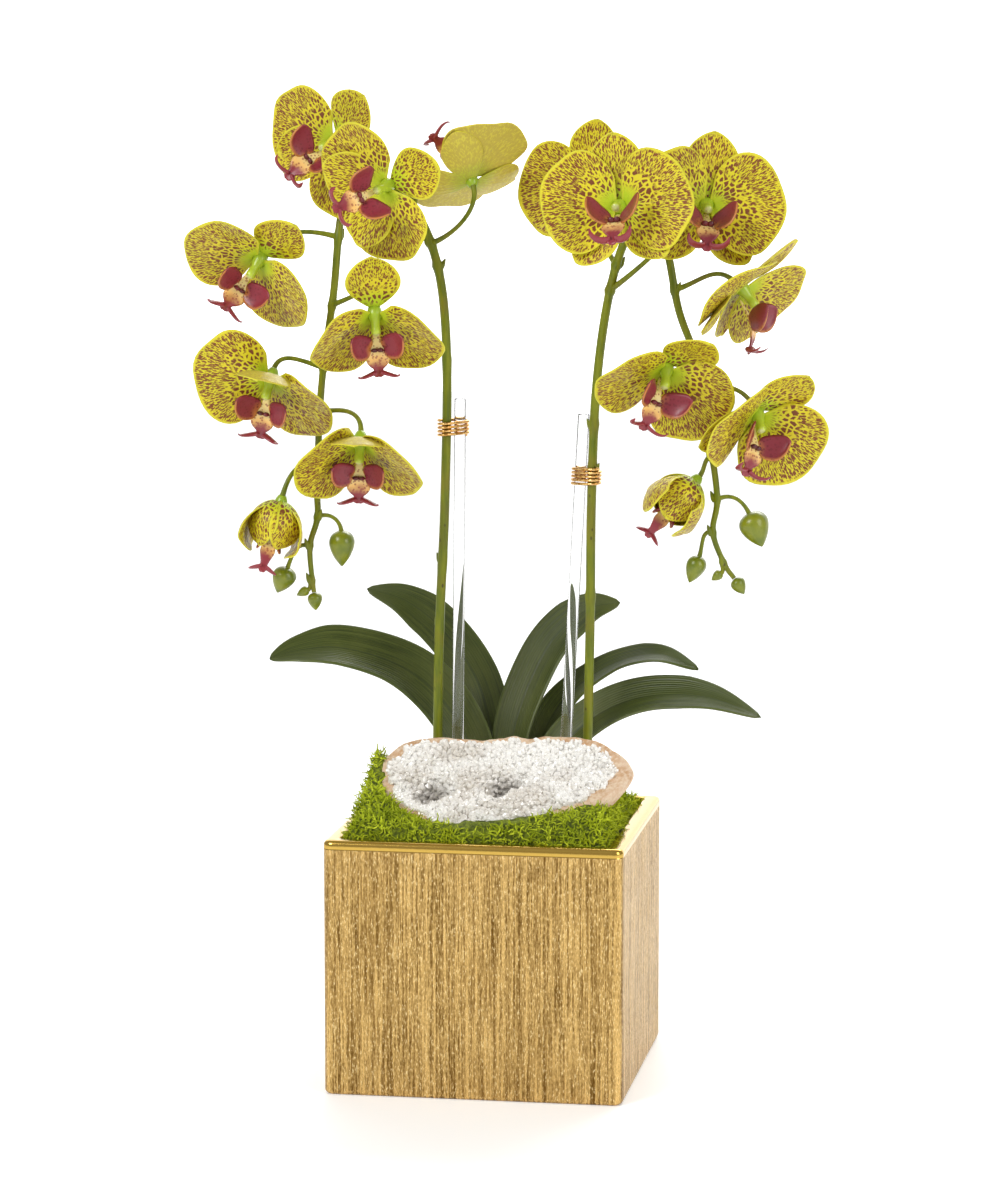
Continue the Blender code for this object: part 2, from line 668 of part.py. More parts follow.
def tie(side, route_path, material):
    """Wire wound round the stem and its stake, an open coil with an oval section."""
    foot, head = stake_ends(side)
    level = STAKES[side][2] + CROWN.z
    rod = foot.lerp(head, (level - foot.z) / (head.z - foot.z))
    stem = at_height(route_path, level, False)
    lean = (head - foot).normalized()
    between = (rod - stem)
    between.z = 0
    along = between.normalized()
    across = Vector((-along.y, along.x, 0))
    reach = STAKE_RADIUS + STAKE_CLEARANCE + WIRE_RADIUS
    per_turn = 10
    path = []
    for i in range(int(WIRE_TURNS * per_turn) + 1):
        angle = 2 * pi * i / per_turn
        centre = rod if cos(angle) >= 0 else stem
        height = WIRE_PITCH * (i / per_turn - WIRE_TURNS / 2)
        path.append(centre + reach * (cos(angle) * along + sin(angle) * across) + lean * height)
    return add_object(f"tie_{side}", tube(path, [WIRE_RADIUS] * len(path), 4), material)


# ------------------------------------------------------------------ leaves
# Leaves: midrib points above their seat, from the crown in mm, greatest half width in mm, way the upper face looks.
LEAVES = {
    "leaf_1": (((-14, 1, 4), (-23, 7, 29), (-40, 11, 53), (-62, 12, 69), (-92, 8, 78),
                (-114, 3, 77), (-129, -2, 73)), 15, (-0.1, -0.65, 0.75)),
    "leaf_2": (((-9, 15, 7), (-14, 22, 34), (-23, 27, 61), (-41, 31, 85), (-62, 32, 101),
                (-83, 32, 107)), 12.5, (0.3, -0.9, 0.35)),
    "leaf_3": (((-1, 5, 7), (0, 10, 34), (7, 17, 59), (19, 24, 83), (37, 28, 99),
                (54, 30, 103)), 12.5, (-0.3, -0.9, 0.35)),
    "leaf_4": (((9, 16, 7), (14, 23, 32), (27, 29, 53), (51, 27, 70), (76, 18, 77),
                (98, 12, 71)), 10.5, (0.05, -0.5, 0.85)),
    "leaf_5": (((16, -1, 4), (28, 6, 30), (48, 11, 47), (73, 11, 56), (104, 4, 57),
                (133, -4, 49)), 13, (0.1, -0.6, 0.8)),
}
LEAF_FOLD = 0.22          # how far the sides of a leaf are raised, in half widths


def leaf_rows(points, half, face):
    """Stations along a leaf from its seat to its tip: the points across it, and its upper side's way."""
    seat = planted(points[0])
    seat.z = FILL_TOP + LEAF_SEAT
    midrib = smooth_path([seat] + [planted(p) for p in points], 2)
    last = len(midrib) - 1
    rows = []
    for i, centre in enumerate(midrib):
        share = i / last
        tangent = (midrib[min(i + 1, last)] - midrib[max(i - 1, 0)]).normalized()
        look = Vector(face)
        normal = (look - look.dot(tangent) * tangent).normalized()
        across = tangent.cross(normal)
        width = half * MM * (0.30 + 0.70 * sin(pi * min(share / 1.16, 1.0)) ** 0.9)
        width = width * min(1.0, sqrt(max(1 - share, 0) * 4.2))
        rise = width * (LEAF_FOLD + 0.55 * (1 - share) ** 4)
        rows.append(([centre + across * v * width + normal * rise * abs(v) ** 1.5
                      for v in (-1, -0.5, 0, 0.5, 1)], normal))
    return rows


def leaf(name, points, half, face, material):
    """A long strap leaf with a folded foot."""
    grid = [row for row, _ in leaf_rows(points, half, face)]
    return add_object(name, sheet(grid, LEAF_THICKNESS), material)


def leaf_hole(points, half, face, material):
    """The slot that a leaf's foot leaves in the moss, with clearance all round."""
    rings = []
    for row, normal in leaf_rows(points, half, face):
        sideways = (row[-1] - row[0]).normalized() * LEAF_CLEARANCE
        wide = [row[0] - sideways] + row[1:-1] + [row[-1] + sideways]
        lift = normal * (LEAF_THICKNESS / 2 + LEAF_CLEARANCE)
        rings.append([p + lift for p in wide] + [p - lift for p in reversed(wide)])
        if row[2].z > POT_HEIGHT + LEAF_HOLE_RISE:
            break
    down = Vector((0, 0, -LEAF_CLEARANCE))
    rings.insert(0, [p + down for p in rings[0]])
    return add_object("hole", loft(rings), material)


# ------------------------------------------------------------------ whole arrangement
def build():
    """Makes every piece in place."""
    for obj in list(bpy.data.objects):
        bpy.data.objects.remove(obj)

    finishes = {
        "gold": finish("gold_glaze", (0.48, 0.29, 0.10), 0.32, 0.85),
        "foam": finish("foam", (0.05, 0.06, 0.03), 0.95),
        "moss": finish("moss", (0.16, 0.25, 0.02), 0.95),
        "quartz": finish("quartz", (0.78, 0.72, 0.64), 0.35),
        "stem": finish("stem", (0.22, 0.24, 0.01), 0.45),
        "leaf": finish("leaf", (0.04, 0.07, 0.02), 0.35),
        "petal": finish("petal", (0.50, 0.42, 0.05), 0.5),
        "lip": finish("lip", (0.30, 0.03, 0.03), 0.4),
        "bud": finish("bud", (0.25, 0.27, 0.02), 0.4),
        "acrylic": finish("acrylic", (0.95, 0.96, 0.97), 0.05, 0.0, 0.35),
        "wire": finish("copper_wire", (0.60, 0.33, 0.08), 0.25, 1.0),
    }
    paths = {"left": stem_path(LEFT_ROOT, LEFT_ROUTE), "right": stem_path(RIGHT_ROOT, RIGHT_ROUTE)}

    def holes():
        """Cutters for everything pushed into the block and the moss."""
        cutters = []
        for side, path in paths.items():
            low = [p for p in path if p.z < GEODE_CENTRE.z + 40 * MM]
            low[0] = low[0] - Vector((0, 0, GAP))
            cutters.append(add_object("hole", tube(low, [STEM_RADIUS + GAP] * len(low), 8),
                                      finishes["foam"]))
            foot, head = stake_ends(side)
            low_end = foot - (head - foot).normalized() * GAP
            cutters.append(add_object("hole", tube([low_end, head], [STAKE_RADIUS + GAP] * 2, 12),
                                      finishes["foam"]))
        return cutters

    pot(finishes["gold"])
    filling_block(finishes["foam"], holes())
    moss_holes = holes() + [geode_solid("hole", finishes["moss"], 2 * GAP)]
    for points, half, face in LEAVES.values():
        moss_holes.append(leaf_hole(points, half, face, finishes["moss"]))
    moss_bed(finishes["moss"], moss_holes)
    geode_solid("geode", finishes["quartz"])
    for name, (points, half, face) in LEAVES.items():
        leaf(name, points, half, face, finishes["leaf"])
    flowers("left", LEFT_ROOT, LEFT_ROUTE, LEFT_BLOOMS, LEFT_BUDS, finishes)
    flowers("right", RIGHT_ROOT, RIGHT_ROUTE, RIGHT_BLOOMS, RIGHT_BUDS, finishes)
    for side, path in paths.items():
        stake(side, finishes["acrylic"])
        tie(side, path, finishes["wire"])


build()
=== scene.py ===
"""Looks of a potted orchid: two sprays of spotted flowers on clear rods, with leaves, moss and half a
geode in a square combed-gold pot. Metres, +Z up, front -Y, origin under the middle of the pot."""

import json
from math import atan2, cos, log, pi, radians, sin, sqrt

import bmesh
import bpy
import numpy as np
from mathutils import Matrix, Vector, noise

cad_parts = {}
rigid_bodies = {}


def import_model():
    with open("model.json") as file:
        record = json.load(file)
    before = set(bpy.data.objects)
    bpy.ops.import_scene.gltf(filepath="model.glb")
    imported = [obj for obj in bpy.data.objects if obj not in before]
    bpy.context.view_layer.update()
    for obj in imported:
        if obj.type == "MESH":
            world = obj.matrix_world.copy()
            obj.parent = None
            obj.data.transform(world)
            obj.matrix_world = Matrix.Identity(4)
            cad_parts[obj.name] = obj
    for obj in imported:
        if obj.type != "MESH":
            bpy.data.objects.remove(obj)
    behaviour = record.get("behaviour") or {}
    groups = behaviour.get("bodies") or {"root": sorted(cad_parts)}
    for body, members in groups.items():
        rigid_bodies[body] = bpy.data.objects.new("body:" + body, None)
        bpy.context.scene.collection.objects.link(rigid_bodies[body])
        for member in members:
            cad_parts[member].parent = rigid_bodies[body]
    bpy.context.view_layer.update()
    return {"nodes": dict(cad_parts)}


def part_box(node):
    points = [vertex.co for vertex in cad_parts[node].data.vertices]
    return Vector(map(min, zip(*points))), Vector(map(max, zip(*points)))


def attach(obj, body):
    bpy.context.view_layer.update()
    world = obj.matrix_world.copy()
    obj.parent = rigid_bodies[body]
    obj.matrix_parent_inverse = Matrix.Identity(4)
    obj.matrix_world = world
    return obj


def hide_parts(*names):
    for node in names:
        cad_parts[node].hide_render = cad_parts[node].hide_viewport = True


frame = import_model()

MM = 0.001
SEED = 7

# ---- sizes taken from the frame ----
POT_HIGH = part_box("pot")[1]
POT_HALF = POT_HIGH.x
POT_HEIGHT = POT_HIGH.z
BLOCK_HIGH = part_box("filling_block")[1]
BLOCK_CLEARANCE = 0.3 * MM
CAVITY_HALF = BLOCK_HIGH.x + BLOCK_CLEARANCE
CROWN_FROM_WALL = 22 * MM
CROWN = Vector((0, CAVITY_HALF - CROWN_FROM_WALL, POT_HEIGHT))

# ---- the geode: middle of its broken face, depth of its shell and the way it leans ----
GEODE_CENTRE = Vector((8 * MM, -25 * MM, POT_HEIGHT + 23 * MM))
GEODE_DEPTH = 27 * MM
GEODE_TURN = Matrix.Rotation(radians(-7), 3, "Y") @ Matrix.Rotation(radians(34), 3, "X")
# Hollows in the druse: place along and up the broken face, half width, half height and depth, in mm.
# The first two hollows also get shade painted into the quartz's colour.
GEODE_HOLLOWS = ((-40, 1, 11, 8, 13), (-2, 2, 11, 7, 18), (30, 6, 16, 9, 4))


# ------------------------------------------------------------------ camera, light, floor
ROOM_HALF = 4.0
ROOM_HEIGHT = 5.0


def shown(name, data):
    """An object of the scene, made from its data."""
    obj = bpy.data.objects.new(name, data)
    bpy.context.scene.collection.objects.link(obj)
    return obj


def camera():
    """A long lens a little above the flowers' middle and slightly from the right."""
    data = bpy.data.cameras.new("camera")
    data.lens = 122.8
    data.sensor_width = 36
    obj = shown("camera", data)
    obj.location = (0.3416, -2.054, 0.5312)
    obj.rotation_euler = (radians(90 - 7.85), 0, radians(9.39))
    bpy.context.scene.camera = obj


def softbox(name, place, target, width, height, watts):
    """A rectangular soft light aimed at a point."""
    data = bpy.data.lights.new(name, "AREA")
    data.shape = "RECTANGLE"
    data.size, data.size_y = width, height
    data.energy = watts
    obj = shown(name, data)
    obj.location = place
    obj.rotation_euler = (Vector(target) - Vector(place)).to_track_quat("-Z", "Y").to_euler()


def flat(name, corners, finish):
    """A flat sheet of the studio, which isn't part of the arrangement."""
    mesh = bpy.data.meshes.new(name)
    mesh.from_pydata(corners, [], [(0, 1, 2, 3)])
    mesh.materials.append(finish.material)
    shown(name, mesh)


def studio():
    """White room, three softboxes, a lit backdrop and a white floor."""
    world = bpy.data.worlds.new("room")
    bpy.context.scene.world = world
    bpy.context.scene.view_settings.view_transform = "Standard"
    world.use_nodes = True
    background = world.node_tree.nodes["Background"]
    background.inputs["Color"].default_value = (1.0, 0.995, 0.985, 1)
    background.inputs["Strength"].default_value = 0.45
    softbox("key", (-1.1, -1.5, 1.6), (0, 0, 0.28), 0.9, 0.9, 27)
    softbox("fill", (1.5, -0.9, 0.9), (0, 0, 0.25), 0.8, 1.2, 12)
    softbox("back", (0.3, 1.5, 1.5), (0, 0, 0.3), 1.2, 0.8, 16)
    low, high = -ROOM_HALF, ROOM_HALF
    screen = Finish("backdrop", (0.9, 0.9, 0.9), 0.6,
                    Emission_Color=(1, 1, 1, 1), Emission_Strength=1.0)
    flat("backdrop", [(low, high, 0), (high, high, 0), (high, high, ROOM_HEIGHT), (low, high, ROOM_HEIGHT)],
         screen)
    paper = Finish("studio_floor", (0.93, 0.93, 0.925), 0.55,
                   Emission_Color=(1, 1, 1, 1), Emission_Strength=0.20)
    paper.bump(paper.noise(paper.place(), 900, 2), 0.02, 0.1 * MM)
    flat("floor", [(low, low, 0), (high, low, 0), (high, high, 0), (low, high, 0)], paper)


# ------------------------------------------------------------------ finishes
class Finish:
    """A node material with short calls for the patterns used here."""

    def __init__(self, name, colour, roughness, **sockets):
        self.material = bpy.data.materials.new(name)
        self.material.use_nodes = True
        self.tree = self.material.node_tree
        self.shader = self.tree.nodes["Principled BSDF"]
        self.shader.inputs["Base Color"].default_value = (*colour, 1)
        self.shader.inputs["Roughness"].default_value = roughness
        for label, value in sockets.items():
            self.shader.inputs[label.replace("_", " ")].default_value = value

    def node(self, kind, inputs=(), **settings):
        """One node with its settings and inputs; an input is a socket or a value."""
        node = self.tree.nodes.new(kind)
        for key, value in settings.items():
            setattr(node, key, value)
        for key, value in dict(inputs).items():
            self.feed(node.inputs[key], value)
        return node

    def feed(self, socket, value):
        """Links a socket, or sets a plain value."""
        if isinstance(value, bpy.types.NodeSocket):
            self.tree.links.new(value, socket)
        elif isinstance(value, tuple) and len(value) == 3 and socket.type == "RGBA":
            socket.default_value = (*value, 1)
        else:
            socket.default_value = value

    def place(self, scale=(1, 1, 1)):
        """Object coordinates, stretched."""
        coordinate = self.node("ShaderNodeTexCoord").outputs["Object"]
        return self.node("ShaderNodeMapping", {"Vector": coordinate, "Scale": scale}).outputs["Vector"]

    def attribute(self, name):
        """The three numbers kept on a piece's points."""
        return self.node("ShaderNodeAttribute", attribute_name=name)

    def parts(self, vector):
        """A vector's three numbers."""
        return self.node("ShaderNodeSeparateXYZ", {"Vector": vector}).outputs

    def join(self, x, y=0.0, z=0.0):
        """A vector of three numbers."""
        return self.node("ShaderNodeCombineXYZ", {"X": x, "Y": y, "Z": z}).outputs["Vector"]

    def math(self, operation, a, b=0.0, clamp=False):
        """One sum of two values."""
        return self.node("ShaderNodeMath", {0: a, 1: b}, operation=operation,
                         use_clamp=clamp).outputs["Value"]

    def noise(self, vector, scale, detail=3, roughness=0.5):
        """Cloudy values between 0 and 1."""
        return self.node("ShaderNodeTexNoise", {
            "Vector": vector, "Scale": scale, "Detail": detail, "Roughness": roughness}).outputs["Fac"]

    def cells(self, vector, scale, feature="F1", flat=False):
        """Scattered cells; its node gives their distances and colours."""
        return self.node("ShaderNodeTexVoronoi", {"Vector": vector, "Scale": scale}, feature=feature,
                         voronoi_dimensions="2D" if flat else "3D")

    def span(self, value, low, high, to_low=0.0, to_high=1.0, smooth=True):
        """A value's range carried to another, held at its ends."""
        return self.node("ShaderNodeMapRange", {
            "Value": value, "From Min": low, "From Max": high, "To Min": to_low, "To Max": to_high},
            interpolation_type="SMOOTHSTEP" if smooth else "LINEAR").outputs["Result"]

    def mix(self, share, a, b):
        """A colour between two."""
        node = self.tree.nodes.new("ShaderNodeMix")
        node.data_type = "RGBA"
        self.feed(node.inputs[0], share)
        self.feed(node.inputs[6], a)
        self.feed(node.inputs[7], b)
        return node.outputs[2]

    def colour(self, value):
        """Sets the base colour."""
        self.feed(self.shader.inputs["Base Color"], value)

    def rough(self, value):
        """Sets the roughness."""
        self.feed(self.shader.inputs["Roughness"], value)

    def bump(self, height, strength, distance):
        """Raises the surface by a pattern; calls stack."""
        node = self.node("ShaderNodeBump", {"Height": height, "Strength": strength,
                                            "Distance": distance})
        before = self.shader.inputs["Normal"].links
        if before:
            self.feed(node.inputs["Normal"], before[0].from_socket)
        self.feed(self.shader.inputs["Normal"], node.outputs["Normal"])


def ragged_place(f, angle, reach, seed, across, along, scale, detail, ragged):
    """Where a spot falls on a tepal: across per radian round the claw, along per centimetre from it."""
    place = f.join(f.math("ADD", f.math("MULTIPLY", angle, across), seed), f.math("MULTIPLY", reach, along))
    wobble = f.math("MULTIPLY", f.noise(place, scale, detail), ragged)
    return f.node("ShaderNodeVectorMath", {0: place, 1: f.join(wobble, wobble)},
                  operation="ADD").outputs["Vector"]


def spots(f, angle, reach, seed, across, along, fill, ragged):
    """Separate long spots that run out from the claw."""
    cell = f.cells(ragged_place(f, angle, reach, seed, across, along, 0.8, 2, ragged), 1.0, flat=True)
    size = f.span(f.parts(cell.outputs["Color"])[0], 0, 1, fill - 0.16, fill + 0.16, False)
    return f.math("MULTIPLY", f.math("SUBTRACT", size, cell.outputs["Distance"]), 8.0, True)


def blotches(f, angle, reach, seed, across, along, gap, ragged):
    """Large spots with a narrow net of ground colour between them; some are left out."""
    place = ragged_place(f, angle, reach, seed, across, along, 1.1, 3, ragged)
    chance = f.parts(f.cells(place, 1.0, flat=True).outputs["Color"])[0]
    edge = f.cells(place, 1.0, "DISTANCE_TO_EDGE", True).outputs["Distance"]
    margin = f.span(chance, 0.0, 1.0, gap + 0.16, gap - 0.04, False)
    return f.math("MULTIPLY", f.math("SUBTRACT", edge, margin), 11.0, True)


YELLOW = (0.700, 0.600, 0.024)
GREEN_YELLOW = (0.430, 0.560, 0.015)
PALE_MARGIN = (0.640, 0.610, 0.040)
MAROON = (0.150, 0.016, 0.018)
MAROON_SOFT = (0.170, 0.018, 0.018)


def petal_finish(name, inner, coverage):
    """Yellow tepal: green base, maroon blotches, finer broken lines outward, a clean pale margin."""
    f = Finish(name, YELLOW, 0.48, Subsurface_Weight=0.12, Subsurface_Radius=(0.6, 0.5, 0.12),
               Subsurface_Scale=2 * MM, Specular_IOR_Level=0.3)
    vein = f.parts(f.attribute("vein").outputs["Vector"])
    rim = f.parts(f.attribute("rim").outputs["Vector"])
    angle, reach, seed = vein
    margin, under, _ = rim
    drift = f.noise(f.place(), 60, 3)

    blotch = blotches(f, angle, reach, seed, 6.5, 2.9, 0.085 / coverage, 0.7)
    middle = spots(f, angle, reach, f.math("ADD", seed, 3.1), 17.0, 4.0, 0.47 * coverage, 0.5)
    fine = spots(f, angle, reach, f.math("ADD", seed, 7.7), 42.0, 3.9, 0.47 * coverage, 0.35)
    dust = spots(f, angle, reach, f.math("ADD", seed, 9.3), 66.0, 7.0, 0.34 * coverage, 0.4)
    wavering = f.math("ADD", reach, f.span(drift, 0.3, 0.7, -0.3, 0.3))
    near = f.span(wavering, inner + 0.15, inner + 0.65)
    to_middle = f.span(wavering, inner + 1.25, inner + 1.65)
    to_fine = f.span(wavering, inner + 1.80, inner + 2.20)
    pattern = f.math("MULTIPLY", blotch, near)
    pattern = f.node("ShaderNodeMix", {0: to_middle, 2: pattern, 3: middle}).outputs[0]
    pattern = f.node("ShaderNodeMix", {0: to_fine, 2: pattern,
                                       3: f.math("MAXIMUM", fine, f.math("MULTIPLY", dust, 0.6))}
                     ).outputs[0]
    pattern = f.math("MULTIPLY", pattern, f.span(f.math("ADD", margin, f.span(
        drift, 0.3, 0.7, -0.6, 0.6)), 0.5, 2.0))

    ground = f.mix(f.span(reach, 0.45, 1.5), GREEN_YELLOW, YELLOW)
    ground = f.mix(f.span(drift, 0.35, 0.75, 0.0, 0.5), ground, (0.600, 0.600, 0.014))
    ground = f.mix(f.span(margin, 0.2, 1.8, 0.7, 0.0), ground, PALE_MARGIN)
    ink = f.mix(f.span(reach, inner + 1.1, inner + 2.4), MAROON, MAROON_SOFT)
    front = f.mix(f.math("MULTIPLY", pattern, 0.93), ground, ink)
    pale_back = f.mix(f.span(reach, 0.3, 1.6), (0.450, 0.530, 0.040), (0.640, 0.560, 0.075))
    mottle = f.math("MULTIPLY", f.math("MAXIMUM", fine, middle), 0.34)
    back = f.mix(mottle, pale_back, (0.33, 0.17, 0.06))
    f.colour(f.mix(under, front, back))

    ribs = f.math("SINE", f.math("ADD", f.math("MULTIPLY", angle, 46.0), f.math("MULTIPLY", drift, 4.0)))
    f.bump(ribs, 0.35, 0.12 * MM)
    f.bump(f.noise(f.place(), 700, 3), 0.25, 0.06 * MM)
    f.rough(f.span(f.noise(f.place(), 160, 2), 0.3, 0.7, 0.40, 0.58))
    return f.material


def lip_finish():
    """Dark red side lobes with orange edges; a cream to orange middle lobe with a pink-red anchor."""
    f = Finish("lip", (0.3, 0.03, 0.03), 0.36, Subsurface_Weight=0.08,
               Subsurface_Radius=(0.8, 0.2, 0.1), Subsurface_Scale=2 * MM, Coat_Weight=0.12,
               Coat_Roughness=0.25)
    along, across, kind = f.parts(f.attribute("lobe").outputs["Vector"])
    drift = f.noise(f.place(), 110, 3)
    speck = f.cells(f.place(), 620)
    dots = f.span(speck.outputs["Distance"], 0.30, 0.42, 1.0, 0.0)
    side = f.mix(f.span(f.math("ADD", along, f.span(drift, 0.3, 0.7, -0.12, 0.12)), 0.0, 0.26),
                 (0.60, 0.23, 0.05), (0.255, 0.026, 0.042))
    side = f.mix(f.span(across, 0.80, 1.02, 0.0, 0.70), side, (0.66, 0.28, 0.035))
    side = f.mix(f.math("MULTIPLY", dots, f.span(along, 0.1, 0.6, 0.75, 0.25)), side, (0.12, 0.008, 0.014))
    middle = f.mix(f.span(along, 0.28, 0.46), (0.88, 0.70, 0.28), (0.84, 0.50, 0.14))
    middle = f.mix(f.math("MULTIPLY", dots, 0.65), middle, (0.28, 0.02, 0.02))
    middle = f.mix(f.span(f.math("ADD", along, f.span(drift, 0.3, 0.7, -0.06, 0.06)), 0.40, 0.60),
                   middle, (0.270, 0.026, 0.038))
    crest = f.mix(f.span(drift, 0.35, 0.65), (0.07, 0.006, 0.012), (0.16, 0.012, 0.018))
    colour = f.mix(f.span(kind, 0.2, 0.8), side, middle)
    f.colour(f.mix(f.span(kind, 1.2, 1.8), colour, crest))
    f.bump(f.noise(f.place(), 500, 3), 0.3, 0.12 * MM)
    f.rough(f.span(drift, 0.3, 0.7, 0.28, 0.44))
    return f.material


def column_finish():
    """Waxy yellow-green, paler at the anther cap."""
    f = Finish("column", (0.33, 0.48, 0.03), 0.30, Subsurface_Weight=0.15,
               Subsurface_Radius=(0.4, 0.7, 0.1), Subsurface_Scale=2 * MM, Coat_Weight=0.25)
    along, _, _ = f.parts(f.attribute("lobe").outputs["Vector"])
    drift = f.noise(f.place(), 240, 3)
    body = f.mix(f.span(along, 0.1, 0.75), (0.30, 0.44, 0.02), (0.50, 0.62, 0.05))
    body = f.mix(f.span(along, 0.82, 0.96), body, (0.66, 0.70, 0.26))
    f.colour(f.mix(f.span(drift, 0.4, 0.7, 0.0, 0.35), body, (0.26, 0.38, 0.01)))
    f.bump(drift, 0.3, 0.15 * MM)
    return f.material


def stem_finish():
    """Olive green stalk with long faint ribs and dark specks lower down."""
    f = Finish("stem", (0.20, 0.22, 0.012), 0.42, Specular_IOR_Level=0.35)
    streak = f.noise(f.place((1, 1, 0.10)), 420, 4)
    patch = f.noise(f.place(), 55, 3)
    body = f.mix(f.span(streak, 0.3, 0.7), (0.110, 0.145, 0.003), (0.205, 0.230, 0.006))
    body = f.mix(f.span(patch, 0.45, 0.75, 0.0, 0.6), body, (0.205, 0.170, 0.014))
    fleck = f.cells(f.place((1, 1, 0.55)), 230)
    seen = f.math("MULTIPLY", f.span(fleck.outputs["Distance"], 0.10, 0.17, 1.0, 0.0),
                  f.span(patch, 0.46, 0.58))
    low = f.span(f.parts(f.place())[2], 0.20, 0.42, 0.9, 0.15)
    f.colour(f.mix(f.math("MULTIPLY", seen, low), body, (0.045, 0.030, 0.006)))
    f.bump(streak, 0.4, 0.18 * MM)
    f.rough(f.span(streak, 0.3, 0.7, 0.34, 0.5))
    return f.material


def bud_finish():
    """Waxy green bud, yellower in patches, with fine pores."""
    f = Finish("bud", (0.24, 0.27, 0.015), 0.30, Subsurface_Weight=0.10,
               Subsurface_Radius=(0.4, 0.6, 0.1), Subsurface_Scale=2 * MM, Coat_Weight=0.08,
               Coat_Roughness=0.2)
    drift = f.noise(f.place(), 130, 3)
    body = f.mix(f.span(drift, 0.3, 0.7), (0.120, 0.160, 0.005), (0.215, 0.240, 0.010))
    pore = f.cells(f.place(), 900)
    f.colour(f.mix(f.span(pore.outputs["Distance"], 0.12, 0.3, 0.35, 0.0), body, (0.12, 0.13, 0.01)))
    f.bump(f.noise(f.place(), 480, 3), 0.3, 0.12 * MM)
    return f.material


def leaf_finish():
    """Dark satin green with long parallel veins; a greyer underside."""
    f = Finish("leaf", (0.04, 0.07, 0.02), 0.36, Specular_IOR_Level=0.35)
    along, across, under = f.parts(f.attribute("blade").outputs["Vector"])
    strand = f.noise(f.join(f.math("MULTIPLY", across, 13.0), f.math("MULTIPLY", along, 1.4), 0.0), 1.6, 4)
    drift = f.noise(f.place(), 26, 4)
    top = f.mix(f.span(strand, 0.32, 0.68), (0.032, 0.046, 0.006), (0.070, 0.090, 0.012))
    top = f.mix(f.span(drift, 0.42, 0.72, 0.0, 0.65), top, (0.090, 0.108, 0.022))
    top = f.mix(f.span(f.math("ABSOLUTE", across), 0.86, 1.0, 0.0, 0.55), top, (0.10, 0.13, 0.030))
    top = f.mix(f.span(f.math("ABSOLUTE", across), 0.0, 0.07, 0.5, 0.0), top, (0.022, 0.034, 0.010))
    below = f.mix(f.span(strand, 0.3, 0.7), (0.100, 0.118, 0.058), (0.165, 0.180, 0.092))
    f.colour(f.mix(under, top, below))
    lines = f.math("SINE", f.math("ADD", f.math("MULTIPLY", across, 62.0), f.math("MULTIPLY", strand, 3.0)))
    f.bump(lines, 0.30, 0.16 * MM)
    f.bump(f.noise(f.place(), 600, 2), 0.18, 0.07 * MM)
    f.rough(f.span(strand, 0.3, 0.7, 0.30, 0.46))
    return f.material


def gold_finish():
    """Gold glaze combed upright, darker in its grooves, with painted glints as pale specks."""
    f = Finish("gold_glaze", (0.55, 0.34, 0.12), 0.3, Metallic=1.0)
    groove, rim, _ = f.parts(f.attribute("comb").outputs["Vector"])
    fine = f.noise(f.place((1, 1, 0.06)), 2200, 2, 0.5)
    grain = f.noise(f.place((1, 1, 0.30)), 1900, 2, 0.5)
    worn = f.noise(f.place(), 26, 3)
    shade = f.math("ADD", f.math("MULTIPLY", groove, 0.30), f.math("MULTIPLY", fine, 0.32))
    shade = f.math("ADD", shade, f.math("MULTIPLY", grain, 0.38))
    comb = f.mix(f.span(shade, 0.30, 0.66), (0.140, 0.068, 0.012), (0.730, 0.480, 0.170))
    comb = f.mix(f.span(worn, 0.40, 0.70, 0.0, 0.18), comb, (0.52, 0.32, 0.10))
    # Painted glints: where the grain peaks, the colour is lifted to a pale gold.
    comb = f.mix(f.span(grain, 0.60, 0.72, 0.0, 0.7), comb, (0.95, 0.78, 0.42))
    f.colour(f.mix(rim, comb, (0.62, 0.40, 0.085)))
    comb_rough = f.span(shade, 0.34, 0.64, 0.44, 0.26)
    f.rough(f.math("ADD", f.math("MULTIPLY", comb_rough, f.math("SUBTRACT", 1.0, rim)),
                   f.math("MULTIPLY", rim, 0.14)))
    height = f.math("MULTIPLY", f.math("ADD", fine, grain), f.math("SUBTRACT", 1.0, rim))
    f.bump(height, 0.9, 0.22 * MM)
    f.bump(f.noise(f.place(), 90, 3), 0.10, 0.5 * MM)
    return f.material


def foam_finish():
    """Dark open foam."""
    f = Finish("foam", (0.05, 0.06, 0.03), 0.95)
    pore = f.cells(f.place(), 900)
    f.colour(f.mix(f.span(pore.outputs["Distance"], 0.1, 0.5), (0.02, 0.022, 0.012), (0.07, 0.08, 0.04)))
    f.bump(pore.outputs["Distance"], 0.6, 0.5 * MM)
    return f.material


def moss_finish():
    """Bright green strands, varied tuft by tuft and in patches, with small darker flecks."""
    f = Finish("moss", (0.16, 0.25, 0.02), 0.85, Specular_IOR_Level=0.2)
    tone = f.attribute("tone").outputs["Fac"]
    patch = f.noise(f.place(), 70, 3)
    body = f.mix(f.span(tone, 0.0, 1.0, 0.0, 1.0, False), (0.230, 0.300, 0.006), (0.700, 0.800, 0.045))
    body = f.mix(f.span(patch, 0.42, 0.72, 0.0, 0.6), body, (0.460, 0.540, 0.012))
    f.colour(f.mix(f.span(f.noise(f.place(), 900, 2), 0.3, 0.7, 0.0, 0.4), body, (0.110, 0.140, 0.003)))
    f.bump(f.noise(f.place(), 1500, 2), 0.5, 0.2 * MM)
    return f.material


def moss_bed_finish():
    """The dense dark underlayer of the moss."""
    f = Finish("moss_underlayer", (0.05, 0.08, 0.008), 0.95)
    clump = f.noise(f.place(), 330, 5, 0.7)
    f.colour(f.mix(f.span(clump, 0.35, 0.7), (0.060, 0.080, 0.003), (0.250, 0.310, 0.012)))
    f.bump(clump, 1.0, 2.0 * MM)
    return f.material


